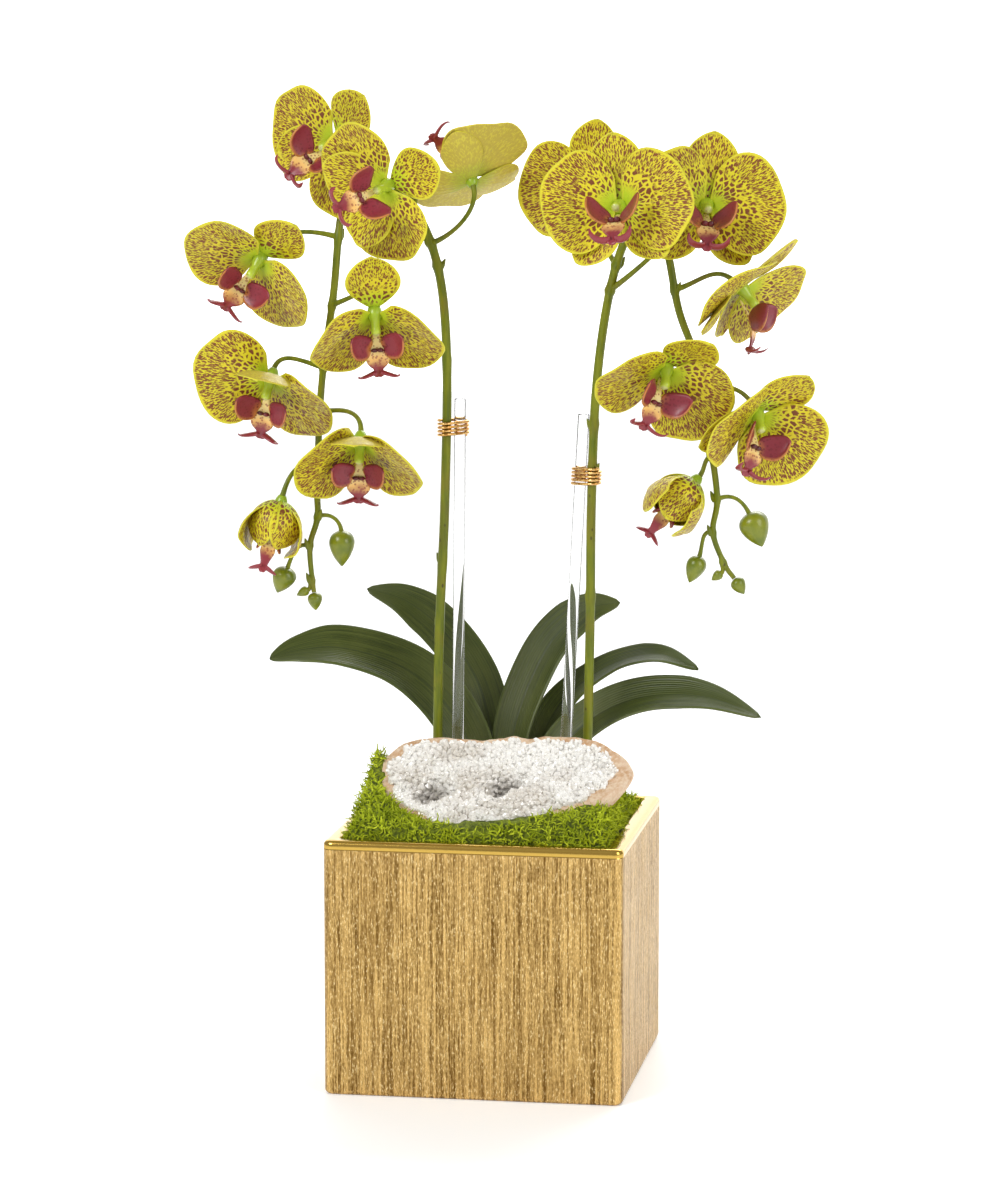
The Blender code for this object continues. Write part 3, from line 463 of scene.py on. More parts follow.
def quartz_finish():
    """White sugary quartz, faintly grey and warm in patches, with shade painted grey into its two deeper
    hollows.
    """
    f = Finish("quartz", (0.80, 0.77, 0.72), 0.20, Subsurface_Weight=0.10,
               Subsurface_Radius=(1.0, 0.95, 0.9), Subsurface_Scale=3 * MM, Coat_Weight=0.5,
               Coat_Roughness=0.06)
    patch = f.noise(f.place(), 45, 4)
    facet = f.cells(f.place(), 480)
    body = f.mix(f.span(patch, 0.38, 0.66), (0.95, 0.93, 0.89), (0.74, 0.69, 0.62))
    body = f.mix(f.span(f.parts(facet.outputs["Color"])[0], 0.0, 1.0, 0.0, 0.35, False), body,
                 (0.95, 0.94, 0.92))
    # Painted shade: the quartz is greyed in and around the two deeper hollows.
    for along, up, wide, _, deep in GEODE_HOLLOWS[:2]:
        middle = GEODE_CENTRE + GEODE_TURN @ Vector((along, up, -0.75 * deep)) * MM
        away = f.node("ShaderNodeVectorMath", {0: f.place(), 1: tuple(middle)},
                      operation="DISTANCE").outputs["Value"]
        away = f.math("ADD", away, f.span(patch, 0.3, 0.7, -3 * MM, 3 * MM))
        body = f.mix(f.span(away, 0.55 * wide * MM, 1.15 * wide * MM, 0.8, 0.0), body, (0.46, 0.43, 0.39))
    f.colour(body)
    f.bump(facet.outputs["Distance"], 0.5, 0.6 * MM)
    f.rough(f.span(f.noise(f.place(), 300, 2), 0.3, 0.7, 0.08, 0.34))
    return f.material


def rind_finish():
    """The geode's tan and orange crust."""
    f = Finish("rind", (0.62, 0.42, 0.26), 0.75)
    patch = f.noise(f.place(), 60, 5, 0.6)
    fine = f.noise(f.place(), 420, 4, 0.65)
    body = f.mix(f.span(patch, 0.35, 0.65), (0.70, 0.50, 0.34), (0.50, 0.27, 0.12))
    f.colour(f.mix(f.span(fine, 0.35, 0.7, 0.0, 0.7), body, (0.80, 0.68, 0.52)))
    f.bump(fine, 0.7, 0.6 * MM)
    f.bump(patch, 0.5, 1.5 * MM)
    return f.material


def acrylic_finish():
    """Clear cast acrylic."""
    f = Finish("acrylic", (1, 1, 1), 0.02, Transmission_Weight=1.0, IOR=1.49)
    f.bump(f.noise(f.place((1, 1, 0.03)), 300, 2), 0.03, 0.1 * MM)
    return f.material


def wire_finish():
    """Bright copper-gold wire with light handling marks."""
    f = Finish("copper_wire", (0.72, 0.40, 0.12), 0.22, Metallic=1.0)
    mark = f.noise(f.place(), 700, 3)
    f.colour(f.mix(f.span(mark, 0.35, 0.65), (0.62, 0.31, 0.075), (0.88, 0.58, 0.24)))
    f.rough(f.span(mark, 0.3, 0.7, 0.16, 0.34))
    return f.material


# ------------------------------------------------------------------ mesh helpers
def mesh_piece(name, points, faces, materials, attributes=(), slots=None):
    """A plain mesh object with its place in its mesh."""
    mesh = bpy.data.meshes.new(name)
    mesh.from_pydata([tuple(p) for p in points], [], faces)
    for material in materials:
        mesh.materials.append(material)
    if slots is not None:
        mesh.polygons.foreach_set("material_index", slots)
    for label, values in dict(attributes).items():
        kept = mesh.attributes.new(label, "FLOAT_VECTOR", "POINT")
        kept.data.foreach_set("vector", np.asarray(values, np.float32).ravel())
    mesh.shade_smooth()
    mesh.validate()
    return shown(name, mesh)


def hand_over(obj, slot, *nodes):
    """Fixes a finished piece to the body and hides any CAD nodes that it stands for. The slot is not used.
    """
    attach(obj, "root")
    if nodes:
        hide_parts(*nodes)


def skin(rings, sides):
    """Faces between rings of points that follow each other."""
    faces = []
    for i in range(rings - 1):
        for k in range(sides):
            j = (k + 1) % sides
            faces.append((i * sides + k, i * sides + j, (i + 1) * sides + j, (i + 1) * sides + k))
    return faces


def smooth_path(points, per_span):
    """Points along a Catmull-Rom curve through the given ones."""
    knots = [Vector(p) for p in points]
    knots = [2 * knots[0] - knots[1]] + knots + [2 * knots[-1] - knots[-2]]
    path = []
    for a, b, c, d in zip(knots, knots[1:], knots[2:], knots[3:]):
        for step in range(per_span):
            t = step / per_span
            path.append(0.5 * (2 * b + (c - a) * t + (2 * a - 5 * b + 4 * c - d) * t * t
                               + (3 * b - a - 3 * c + d) * t * t * t))
    path.append(knots[-2])
    return path


def facing(heading, elevation, roll=0.0):
    """A turn that points +Z of a part the given way: heading from the front towards +X, all in degrees."""
    heading, elevation, roll = radians(heading), radians(elevation), radians(roll)
    ahead = Vector((sin(heading) * cos(elevation), -cos(heading) * cos(elevation), sin(elevation)))
    level = Vector((cos(heading), sin(heading), 0))
    above = ahead.cross(level)
    right = level * cos(roll) + above * sin(roll)
    top = above * cos(roll) - level * sin(roll)
    return Matrix((right, top, ahead)).transposed()


def planted(point):
    """A place of the plant, from its crown in mm."""
    return CROWN + Vector(point) * MM


class Solid:
    """Points, faces and point values gathered for one mesh."""

    def __init__(self):
        self.points, self.faces, self.slots = [], [], []
        self.values = {}

    def add(self, points, faces, slot=0, **values):
        """Adds a shape, its material slot and its point values; points without a value get zeros."""
        start = len(self.points)
        self.points.extend(points)
        self.faces.extend(tuple(start + i for i in face) for face in faces)
        self.slots.extend([slot] * len(faces))
        for label, given in values.items():
            kept = self.values.setdefault(label, [])
            kept.extend([(0, 0, 0)] * (start - len(kept)))
            kept.extend(given)

    def piece(self, name, materials):
        """One mesh object of all that was added."""
        for kept in self.values.values():
            kept.extend([(0, 0, 0)] * (len(self.points) - len(kept)))
        return mesh_piece(name, self.points, self.faces, materials, self.values, slots=self.slots)


def thin_solid(surface, edge, thickness, front_values, back_values):
    """A closed thin solid about a grid of points, rounded off at its edge.

    surface is rows x columns x 3, edge the distance to the rim. The values are per grid point for the
    front and for the back. Returns points, faces and values."""
    rows, columns, _ = surface.shape
    along = np.gradient(surface, axis=0)
    across = np.gradient(surface, axis=1)
    normal = np.cross(across, along)
    normal /= np.maximum(np.linalg.norm(normal, axis=2, keepdims=True), 1e-12)
    share = np.clip(edge / (thickness * 0.9), 0, 1)
    half = thickness / 2 * np.sqrt(1 - (1 - share) ** 2)
    index = np.zeros((2, rows, columns), int)
    points, values = [], []
    inside = np.zeros((rows, columns), bool)
    inside[1:-1, 1:-1] = True
    for i in range(rows):
        for j in range(columns):
            index[0, i, j] = len(points)
            points.append(surface[i, j] + normal[i, j] * half[i, j] * inside[i, j])
            values.append(front_values[i, j])
    for i in range(rows):
        for j in range(columns):
            if inside[i, j]:
                index[1, i, j] = len(points)
                points.append(surface[i, j] - normal[i, j] * half[i, j])
                values.append(back_values[i, j])
            else:
                index[1, i, j] = index[0, i, j]
    faces = []
    for i in range(rows - 1):
        for j in range(columns - 1):
            faces.append((index[0, i, j], index[0, i, j + 1], index[0, i + 1, j + 1], index[0, i + 1, j]))
            faces.append((index[1, i, j], index[1, i + 1, j], index[1, i + 1, j + 1], index[1, i, j + 1]))
    return points, faces, values


def turned(points, matrix):
    """Rows of points carried by a 4x4 matrix."""
    m = np.array(matrix)
    return np.asarray(points) @ m[:3, :3].T + m[:3, 3]


def round_tube(path, radii, sides, squash=1.0):
    """Points and faces of a closed round-ended tube along a path."""
    tangents = [(path[min(i + 1, len(path) - 1)] - path[max(i - 1, 0)]).normalized()
                for i in range(len(path))]
    side = tangents[0].orthogonal().normalized()
    points = []
    for centre, tangent, radius in zip(path, tangents, radii):
        side = (side - side.dot(tangent) * tangent).normalized()
        across = tangent.cross(side)
        for k in range(sides):
            turn = 2 * pi * k / sides
            points.append(centre + radius * (cos(turn) * side + squash * sin(turn) * across))
    faces = skin(len(path), sides)
    last = (len(path) - 1) * sides
    points += [path[0], path[-1]]
    low, high = len(points) - 2, len(points) - 1
    for k in range(sides):
        j = (k + 1) % sides
        faces.append((low, j, k))
        faces.append((high, last + k, last + j))
    return points, faces


# ------------------------------------------------------------------ strands along paths
def strand_tree(name, sides, material):
    """Geometry nodes that skin a network of paths: each point's attribute 'thick' is its radius."""
    tree = bpy.data.node_groups.new(name, "GeometryNodeTree")
    tree.interface.new_socket("Geometry", in_out="INPUT", socket_type="NodeSocketGeometry")
    count = tree.interface.new_socket("Sides", in_out="INPUT", socket_type="NodeSocketInt")
    scale = tree.interface.new_socket("Thickness", in_out="INPUT", socket_type="NodeSocketFloat")
    tree.interface.new_socket("Geometry", in_out="OUTPUT", socket_type="NodeSocketGeometry")
    nodes, links = tree.nodes, tree.links
    start = nodes.new("NodeGroupInput")
    end = nodes.new("NodeGroupOutput")
    thick = nodes.new("GeometryNodeInputNamedAttribute")
    thick.data_type = "FLOAT"
    thick.inputs["Name"].default_value = "thick"
    times = nodes.new("ShaderNodeMath")
    times.operation = "MULTIPLY"
    curve = nodes.new("GeometryNodeMeshToCurve")
    circle = nodes.new("GeometryNodeCurvePrimitiveCircle")
    circle.inputs["Radius"].default_value = 1.0
    skin = nodes.new("GeometryNodeCurveToMesh")
    skin.inputs["Fill Caps"].default_value = True
    smooth = nodes.new("GeometryNodeSetShadeSmooth")
    real = nodes.new("GeometryNodeRealizeInstances")
    finish = nodes.new("GeometryNodeSetMaterial")
    finish.inputs["Material"].default_value = material
    for a, b in ((start.outputs["Geometry"], curve.inputs["Mesh"]),
                 (curve.outputs["Curve"], skin.inputs["Curve"]),
                 (thick.outputs["Attribute"], times.inputs[0]),
                 (start.outputs["Thickness"], times.inputs[1]),
                 (times.outputs[0], skin.inputs["Scale"]),
                 (start.outputs["Sides"], circle.inputs["Resolution"]),
                 (circle.outputs["Curve"], skin.inputs["Profile Curve"]),
                 (skin.outputs["Mesh"], smooth.inputs["Geometry"]),
                 (smooth.outputs["Geometry"], real.inputs["Geometry"]),
                 (real.outputs["Geometry"], finish.inputs["Geometry"]),
                 (finish.outputs["Geometry"], end.inputs["Geometry"])):
        links.new(a, b)
    return tree, {count.identifier: sides, scale.identifier: 1.0}


def grown(obj, tree, settings):
    """Runs a tree on an object and keeps the plain mesh that it makes."""
    step = obj.modifiers.new("made", "NODES")
    step.node_group = tree
    for identifier, value in settings.items():
        step[identifier] = value
    bpy.context.view_layer.update()
    depsgraph = bpy.context.evaluated_depsgraph_get()
    mesh = bpy.data.meshes.new_from_object(obj.evaluated_get(depsgraph))
    obj.modifiers.clear()
    old, obj.data = obj.data, mesh
    mesh.name = obj.name
    bpy.data.meshes.remove(old)
    return obj


def strands(name, paths, sides, material):
    """One piece of round strands, each given as its points and radii."""
    points, edges, thick = [], [], []
    for path, radii in paths:
        start = len(points)
        points += [tuple(p) for p in path]
        edges += [(start + i, start + i + 1) for i in range(len(path) - 1)]
        thick += list(radii)
    mesh = bpy.data.meshes.new(name)
    mesh.from_pydata(points, edges, [])
    mesh.attributes.new("thick", "FLOAT", "POINT").data.foreach_set("value", thick)
    obj = shown(name, mesh)
    tree, settings = strand_tree(f"{name}_strands", sides, material)
    grown(obj, tree, settings)
    face_outward(obj)
    return obj


def face_outward(obj):
    """Merges doubles and points every face out."""
    bm = bmesh.new()
    bm.from_mesh(obj.data)
    bmesh.ops.remove_doubles(bm, verts=bm.verts, dist=0.002 * MM)
    bmesh.ops.recalc_face_normals(bm, faces=bm.faces)
    bm.to_mesh(obj.data)
    bm.free()


# ------------------------------------------------------------------ blooms
PETAL_LENGTH = 39 * MM
PETAL_BREADTH = 47 * MM
DORSAL_LENGTH = 36 * MM
DORSAL_BREADTH = 28 * MM
LATERAL_LENGTH = 35 * MM
LATERAL_BREADTH = 23 * MM
TEPAL_THICKNESS = 0.8 * MM
HUB_RADIUS = 3.6 * MM
HUB_BACK = 4.5 * MM
COLUMN_LENGTH = 12 * MM
FAN_HALF_ANGLE = radians(77)

# How a bloom holds itself. Dorsal sepal and lateral sepals: tilt and curl. Left and right petal:
# place round the hub, tilt, twist of the edge next to the dorsal sepal. All in degrees.
FLAT_SET = ((6, 14), (6, 12), (192, 16, 0), (-12, 16, 0))
PETAL_SETS = {
    "left_1": ((6, 16), (4, 12), (208, 10, 0), (-22, 10, 0)),
    "left_2": ((8, 20), (6, 12), (216, 4, 14), (-26, 4, 10)),
    "left_3": ((8, 24), (6, 20), (188, 24, 0), (-8, 18, 0)),
    "left_4": ((-16, 14), (8, 14), (188, 24, -12), (-4, 34, 0)),
    "left_5": ((-24, 14), (20, 14), (200, 40, 4), (-22, 40, 4)),
    "left_6": ((20, 20), (14, 14), (164, 18, -46), (-16, 30, -6)),
    "left_7": ((20, 20), (22, 14), (172, 46, -18), (4, 42, -6)),
    "right_1": ((10, 10), (6, 12), (172, 22, 4), (4, 22, 4)),
    "right_3": ((0, 12), (4, 12), (170, 22, 0), (8, 18, -8)),
    "right_4": ((4, 8), (4, 14), (184, 6, 8), (6, 34, 0)),
    "right_5": ((7, 20), (11, 15), (207, 33, 8), (-5, 36, -7)),
    "right_6": ((8, 16), (14, 14), (196, 42, 0), (-10, 38, 0)),
}
HALF_OPEN_SET = ((12, 134), (10, 132), (172, 8, 0), (8, 8, 0))
OPEN_CURL, OPEN_FOLD, OPEN_TROUGH = -16, 1.0, 0.09
HALF_OPEN_CURL, HALF_OPEN_FOLD, HALF_OPEN_TROUGH = 132, 0.6, 0.16
HALF_OPEN = ("left_8", "right_7")


def cupped(x, y, length, breadth, tilt, curl, trough, lift):
    """Bends flat points of a tepal: tilt at its claw, curl along it, trough across it, plus a lift."""
    radius = length / curl
    angle = tilt + curl * y / length
    lift = lift + trough * breadth * (2 * x / breadth) ** 2
    return np.stack([x, radius * (np.sin(angle) - sin(tilt)) - lift * np.sin(angle),
                     radius * (cos(tilt) - np.cos(angle)) + lift * np.cos(angle)], axis=-1)


def stacked(a, b, c):
    """Three grids of numbers as one grid of triples."""
    return np.stack(np.broadcast_arrays(a, b, c), axis=-1)


def petal_surface(height, curl, fold, place, tilt, twist, draw):
    """One broad petal: its surface, distance to the rim, and pattern values front and back."""
    tilt, curl = radians(tilt), radians(curl)
    side = 1 if cos(radians(place)) > 0 else -1
    turn = Matrix.Rotation(radians(place - 90), 3, "Z")
    turn @= Matrix.Rotation(radians(twist) * side, 3, Vector((0, cos(tilt), sin(tilt))))
    rows = np.concatenate([np.linspace(0.05, 0.90, 20), [0.94, 0.965, 0.985, 1.0]])
    columns = np.sin(np.linspace(-1, 1, 39) * pi / 2 * 0.86) / sin(pi / 2 * 0.86)
    u, v = np.meshgrid(rows, columns, indexing="ij")
    angle = v * fold * FAN_HALF_ANGLE
    a, b = PETAL_LENGTH / 2, PETAL_BREADTH / 2
    reach = (2 * np.cos(angle) / a) / ((np.cos(angle) / a) ** 2 + (np.sin(angle) / b) ** 2)
    shoulder = np.clip((np.abs(angle) - 0.5) / 0.6, 0, 1)
    reach = reach * (1 + 0.12 * shoulder * shoulder * (3 - 2 * shoulder))
    phase, rate = draw.uniform(0, 6.28), draw.uniform(4.5, 6.5)
    reach = reach * (1 + 0.012 * np.sin(angle * 9 + phase) + 0.015 * np.sin(angle * 4 - phase))
    ruffle = 1.0 * MM * u ** 3 * np.sin(angle * rate + phase) * (0.5 + np.abs(v))
    ripple = 0.35 * MM * u * np.sin(angle * 2.2 * rate - phase) * np.sin(u * 5 + phase)
    crease = -0.5 * MM * np.exp(-(angle / 0.13) ** 2) * u * (1.2 - u)
    x, y = u * reach * np.sin(angle), u * reach * np.cos(angle)
    surface = cupped(x, y, PETAL_LENGTH, PETAL_BREADTH, tilt, curl, 0.05, ruffle + ripple + crease)
    surface = (surface + np.array([0, HUB_RADIUS * 0.3, 0])) @ np.array(turn).T
    surface = surface + np.array([0, 0, height * MM])
    corner = u * reach * np.sin(np.maximum(fold * FAN_HALF_ANGLE - np.abs(angle), 0))
    edge = np.minimum((1 - u) * reach, corner)
    seed = float(draw.integers(1, 90)) * 10
    vein = stacked(angle, u * reach * 100, seed)
    return surface, edge, vein


def sepal_surface(place, height, length, breadth, tilt, curl, trough, draw):
    """One oval sepal: its surface, distance to the rim, and pattern values."""
    turn = np.array(Matrix.Rotation(radians(place - 90), 3, "Z"))
    rows = np.concatenate([np.linspace(0.03, 0.88, 18), [0.92, 0.955, 0.98, 0.994, 1.0]])
    columns = np.sin(np.linspace(-1, 1, 23) * pi / 2 * 0.88) / sin(pi / 2 * 0.88)
    u, v = np.meshgrid(rows, columns, indexing="ij")
    power = log(0.5) / log(0.56)
    half = breadth / 2 * np.maximum(np.sin(pi * u ** power), 0) ** 0.6
    x, y = v * half, u * length
    phase = draw.uniform(0, 6.28)
    lift = 0.5 * MM * u ** 2 * np.sin(v * 3.4 + phase) + 0.35 * MM * np.sin(u * 7 + phase) * v ** 2
    lift = lift - 0.5 * MM * np.exp(-(v / 0.16) ** 2) * u * (1.15 - u)
    surface = cupped(x, y, length, breadth, radians(tilt), radians(curl), trough, lift)
    surface = (surface + np.array([0, HUB_RADIUS * 0.3, height * MM])) @ turn.T
    edge = np.minimum(half - np.abs(x), (1 - u) * length * 0.7)
    seed = float(draw.integers(1, 90)) * 10
    vein = stacked(np.arctan2(x, y + 7 * MM), y * 100, seed)
    return surface, edge, vein


def column_solid(solid, matrix):
    """The hub and the column that stands out of it, with its rounded anther cap."""
    profile = ((0.62, 0, -HUB_BACK), (0.95, 0, -HUB_BACK * 0.4), (1.0, 0, HUB_BACK * 0.3),
               (0.62, -0.05 * COLUMN_LENGTH, 0.5 * COLUMN_LENGTH),
               (0.70, -0.11 * COLUMN_LENGTH, 0.82 * COLUMN_LENGTH),
               (0.60, -0.15 * COLUMN_LENGTH, 0.96 * COLUMN_LENGTH),
               (0.20, -0.17 * COLUMN_LENGTH, 1.02 * COLUMN_LENGTH))
    line = smooth_path(profile, 4)
    path = [Vector((0, p.y, p.z)) for p in line]
    points, faces = round_tube(path, [HUB_RADIUS * max(p.x, 0.1) for p in line], 16)
    shares = [i / (len(path) - 1) for i in range(len(path)) for _ in range(16)] + [0, 1]
    solid.add(turned(points, matrix), faces, 1, lobe=[(share, 0, 0) for share in shares])
    cap = [Vector((0, -0.16 * COLUMN_LENGTH - t * 2.4 * MM, 0.90 * COLUMN_LENGTH + t * 1.6 * MM))
           for t in (-0.6, -0.3, 0, 0.3, 0.6)]
    points, faces = round_tube(cap, [0.7 * MM, 1.5 * MM, 1.8 * MM, 1.5 * MM, 0.7 * MM], 12)
    solid.add(turned(points, matrix), faces, 1, lobe=[(0.92, 0, 0)] * len(points))


def bloom(name, matrix, materials, draw):
    """Three sepals, two petals and the column of one flower."""
    shut = name in HALF_OPEN
    dorsal, lateral, left, right = HALF_OPEN_SET if shut else PETAL_SETS.get(name, FLAT_SET)
    trough = HALF_OPEN_TROUGH if shut else OPEN_TROUGH
    bend = (HALF_OPEN_CURL, HALF_OPEN_FOLD) if shut else (OPEN_CURL, OPEN_FOLD)
    tepals = (
        (sepal_surface(90, -1.0, DORSAL_LENGTH, DORSAL_BREADTH, *dorsal, trough, draw), 2),
        (sepal_surface(231, -1.7, LATERAL_LENGTH, LATERAL_BREADTH, *lateral, trough, draw), 2),
        (sepal_surface(311, -1.3, LATERAL_LENGTH, LATERAL_BREADTH, *lateral, trough, draw), 2),
        (petal_surface(0.6, *bend, *left, draw), 0),
        (petal_surface(1.1, *bend, *right, draw), 0),
    )
    solid = Solid()
    for (surface, edge, vein), slot in tepals:
        margin = edge / MM
        front, back = stacked(margin, 0.0, 0.0), stacked(margin, 0.0 if shut else 1.0, 0.0)
        points, faces, veins = thin_solid(surface, edge, TEPAL_THICKNESS, vein, vein)
        _, _, rims = thin_solid(surface, edge, TEPAL_THICKNESS, front, back)
        solid.add(turned(points, matrix), faces, slot, vein=veins, rim=rims)
    column_solid(solid, matrix)
    piece = solid.piece(f"flower_{name}", materials)
    face_outward(piece)
    hand_over(piece, "petal", f"bloom_{name}")


# ------------------------------------------------------------------ lips
# Middle lobe from its claw to its tip: half width, drop below the column, reach out of the bloom,
# in mm. The side lobe: out to the side, up, reach. The horns: out, up, reach and radius.
LIP_THICKNESS = 1.1 * MM
OPEN_LIP = {
    "middle": ((1.3, -4.6, 3.5), (1.7, -6.4, 9.0), (2.6, -8.0, 13.5), (5.2, -10.2, 17.0),
               (5.9, -12.6, 19.6), (4.4, -15.0, 21.6), (2.5, -17.0, 23.0), (2.9, -18.8, 24.1),
               (2.4, -20.4, 25.0), (1.0, -21.6, 25.5)),
    "side": ((2.5, -9.0, 15.0), (5.0, -8.0, 16.5), (10.0, -4.0, 18.5), (12.5, 0.5, 19.0),
             (13.0, 4.0, 18.5)),
    "side_half": 6.8,
    "horn": ((1.2, -18.6, 24.1, 2.3), (4.4, -19.0, 25.4, 2.2), (7.6, -18.0, 27.2, 1.8),
             (9.6, -15.8, 28.6, 1.2), (10.2, -13.0, 29.2, 0.3)),
    "crest": ((1.5, -7.9, 16.4), (1.5, -9.0, 18.2)),
}
SHUT_LIP = {
    "middle": ((1.2, -4.6, 3.5), (1.5, -5.4, 12), (2.4, -6.2, 18), (3.8, -7.0, 23), (4.2, -7.6, 27),
               (3.0, -8.6, 31), (2.2, -9.6, 34), (2.4, -11.2, 36.6), (1.8, -12.4, 38.2),
               (0.9, -13.2, 39.2)),
    "side": ((1.5, -6.0, 18.0), (3.2, -5.5, 20.5), (5.4, -3.5, 23.5), (6.4, -1.0, 26.0),
             (6.6, 1.0, 27.5)),
    "side_half": 4.2,
    "horn": ((0.8, -11.0, 36.0, 1.9), (3.2, -11.0, 37.0, 1.8), (5.6, -10.2, 38.2, 1.4),
             (7.2, -8.6, 39.2, 0.9), (7.8, -7.0, 39.8, 0.3)),
    "crest": ((1.1, -5.6, 19.0), (1.1, -6.4, 20.6)),
}


def middle_lobe(solid, matrix, shape):
    """The channelled middle lobe, with raised shoulders."""
    line = smooth_path(shape["middle"], 4)
    t = np.linspace(-1, 1, 15)
    rows = []
    for p in line:
        rows.append(np.stack([t * p.x, np.full_like(t, p.y), p.z + 0.24 * p.x * t ** 2], axis=-1) * MM)
    surface = np.array(rows)
    along = np.linspace(0, 1, len(line))[:, None]
    half = np.array([p.x for p in line])[:, None] * MM
    edge = np.minimum(half * (1 - np.abs(t)), (1 - along) * 12 * MM)
    values = stacked(along, np.abs(t)[None, :], 1.0)
    points, faces, lobe = thin_solid(surface, edge, LIP_THICKNESS, values, values)
    solid.add(turned(points, matrix), faces, 0, lobe=lobe)


def side_lobe(solid, matrix, shape, side):
    """One rounded side lobe, standing up beside the column and cupped towards it."""
    line = smooth_path(shape["side"], 5)
    t = np.linspace(-1, 1, 15)
    across = np.array([side * 0.2, -0.55, 0.8])
    rows, halves = [], []
    for i, p in enumerate(line):
        share = i / (len(line) - 1)
        half = shape["side_half"] * max(sin(pi * (0.05 + 0.94 * share)), 0.03) ** 0.9
        centre = np.array([side * p.x, p.y, p.z])
        inward = np.array([-side * 0.9, 0.35, -0.2])
        rows.append((centre + np.outer(t * half, across) + np.outer(0.22 * half * t ** 2, inward)) * MM)
        halves.append(half * MM)
    surface = np.array(rows)
    along = np.linspace(0, 1, len(line))[:, None]
    edge = np.minimum(np.array(halves)[:, None] * (1 - np.abs(t)), (1 - along) * 14 * MM)
    edge = np.minimum(edge, (along + 0.02) * 14 * MM)
    values = stacked(along, (t[None, :] + 1) / 2, 0.0)
    points, faces, lobe = thin_solid(surface, edge, LIP_THICKNESS, values, values)
    solid.add(turned(points, matrix), faces, 0, lobe=lobe)


def lip(name, matrix, material):
    """The lip of one flower, hanging below its column."""
    shape = SHUT_LIP if name in HALF_OPEN else OPEN_LIP
    solid = Solid()
    middle_lobe(solid, matrix, shape)
    for side in (-1, 1):
        side_lobe(solid, matrix, shape, side)
        line = smooth_path([Vector((side * x, y, z)) * MM for x, y, z, _ in shape["horn"]], 4)
        radii = np.interp(np.linspace(0, 4, len(line)), range(5), [r * MM for *_, r in shape["horn"]])
        points, faces = round_tube(line, [float(r) for r in radii], 10, 0.45)
        solid.add(turned(points, matrix), faces, 0, lobe=[(0.95, 0.2, 1)] * len(points))
        low, high = (Vector((side * p[0], *p[1:])) * MM for p in shape["crest"])
        knob = [low.lerp(high, t) for t in (0, 0.2, 0.5, 0.8, 1)]
        points, faces = round_tube(knob, [0.7 * MM, 1.5 * MM, 1.9 * MM, 1.5 * MM, 0.7 * MM], 12)
        solid.add(turned(points, matrix), faces, 0, lobe=[(0, 0, 2)] * len(points))
    piece = solid.piece(f"labellum_{name}", [material])
    face_outward(piece)
    hand_over(piece, "lip", f"lip_{name}")


# ------------------------------------------------------------------ spikes and buds
# Routes of the two spikes from the crown in mm: up over the arch to the hanging tip.
ROUTES = {
    "left": ((-36, -12, 81), (-32, -16, 159), (-30, -21, 239), (-34, -28, 286), (-47, -36, 317),
             (-66, -42, 329), (-78, -50, 315), (-82, -57, 270), (-88, -59, 224), (-91, -57, 174),
             (-91, -57, 156), (-95, -57, 141), (-94, -57, 124), (-93, -57, 117)),
    "right": ((44, -13, 91), (45, -16, 159), (48, -21, 220), (55, -28, 267), (65, -37, 298),
              (77, -45, 310), (88, -53, 294), (95, -56, 263), (107, -58, 231), (112, -58, 194),
              (115, -58, 169), (113, -58, 152), (119, -58, 136), (124, -58, 129)),
}
ROOTS = {"left": (-38, -9, -35), "right": (41, -10, -35)}
# Blooms: centre of the hub from the crown in mm; heading, elevation and roll of the face in degrees;
# size; the height at which its stalk leaves the spike; on the hanging length; stalk's upward lead.
BLOOMS = {
    "left": (
        ("left_1", (-80, -58, 347), (-24, -7, -44), 0.98, 327.5, True, 0.8),
        ("left_2", (-47, -90, 327), (-13, -10, -69), 0.98, 315, False, 0.3),
        ("left_3", (-13, -44, 328), (-149, 48, 111), 0.93, 295, False, 0.3),
        ("left_4", (-117, -69, 289), (-28, -48, -58), 1.0, 299, True, 0.3),
        ("left_5", (-56, -81, 263), (18, -57, 7), 1.0, 265, True, 0.2),
        ("left_6", (-111, -73, 229), (-19, -58, -24), 1.0, 233, True, 0.3),
        ("left_7", (-64, -79, 198), (3, -61, -5), 1.0, 210, True, 0.2),
        ("left_8", (-106, -76, 165), (-74, -75, 98), 0.9, 183, True, 0.3),
    ),
    "right": (
        ("right_1", (69, -87, 317), (-4, 8, 5), 1.0, 302, False, 0.3),
        ("right_2", (45, -20, 324), (-8, 6, -7), 0.95, 285, False, 0.6),
        ("right_3", (109, -62, 317), (12, -1, -6), 1.0, 272, False, 0.6),
        ("right_4", (127, -65, 276), (80, -42, -8), 1.0, 274, True, 0.3),
        ("right_5", (92, -83, 237), (9, -44, -36), 1.0, 243, True, 0.2),
        ("right_6", (136, -71, 214), (28, -36, -30), 1.0, 225, True, 0.3),
        ("right_7", (104, -63, 178), (-63, -47, -73), 0.9, 190, True, 0.2),
    ),
}
# Buds: centre from the crown in mm; heading and elevation of the point; length and breadth in mm;
# height of the junction on the spike; stalk's upward lead.
BUDS = {
    "left": (
        ("left_1", (-78, -57, 140), (80, -86), 18, 13, 156, 0.5),
        ("left_2", (-109, -58, 123), (-90, -70), 14, 12, 141, 0.3),
        ("left_3", (-99, -57, 117), (-90, -25), 7, 5, 123, 0.1),
    ),
    "right": (
        ("right_1", (135, -58, 154), (70, -62), 18, 15, 169, 0.5),
        ("right_2", (104, -58, 133), (-80, -72), 14, 10, 152, 0.3),
        ("right_3", (115, -58, 130), (-90, -35), 6.5, 5, 137, 0.1),
    ),
}
TIP_BUD = (9, 7.5)
BUD_PROFILE = ((0.05, 0, 0.0), (0.34, 0, 0.0), (0.78, 0, 0.1), (1.0, 0, 0.28), (0.92, 0, 0.5),
               (0.62, 0, 0.74), (0.26, 0, 0.92), (0.06, 0, 1.0))
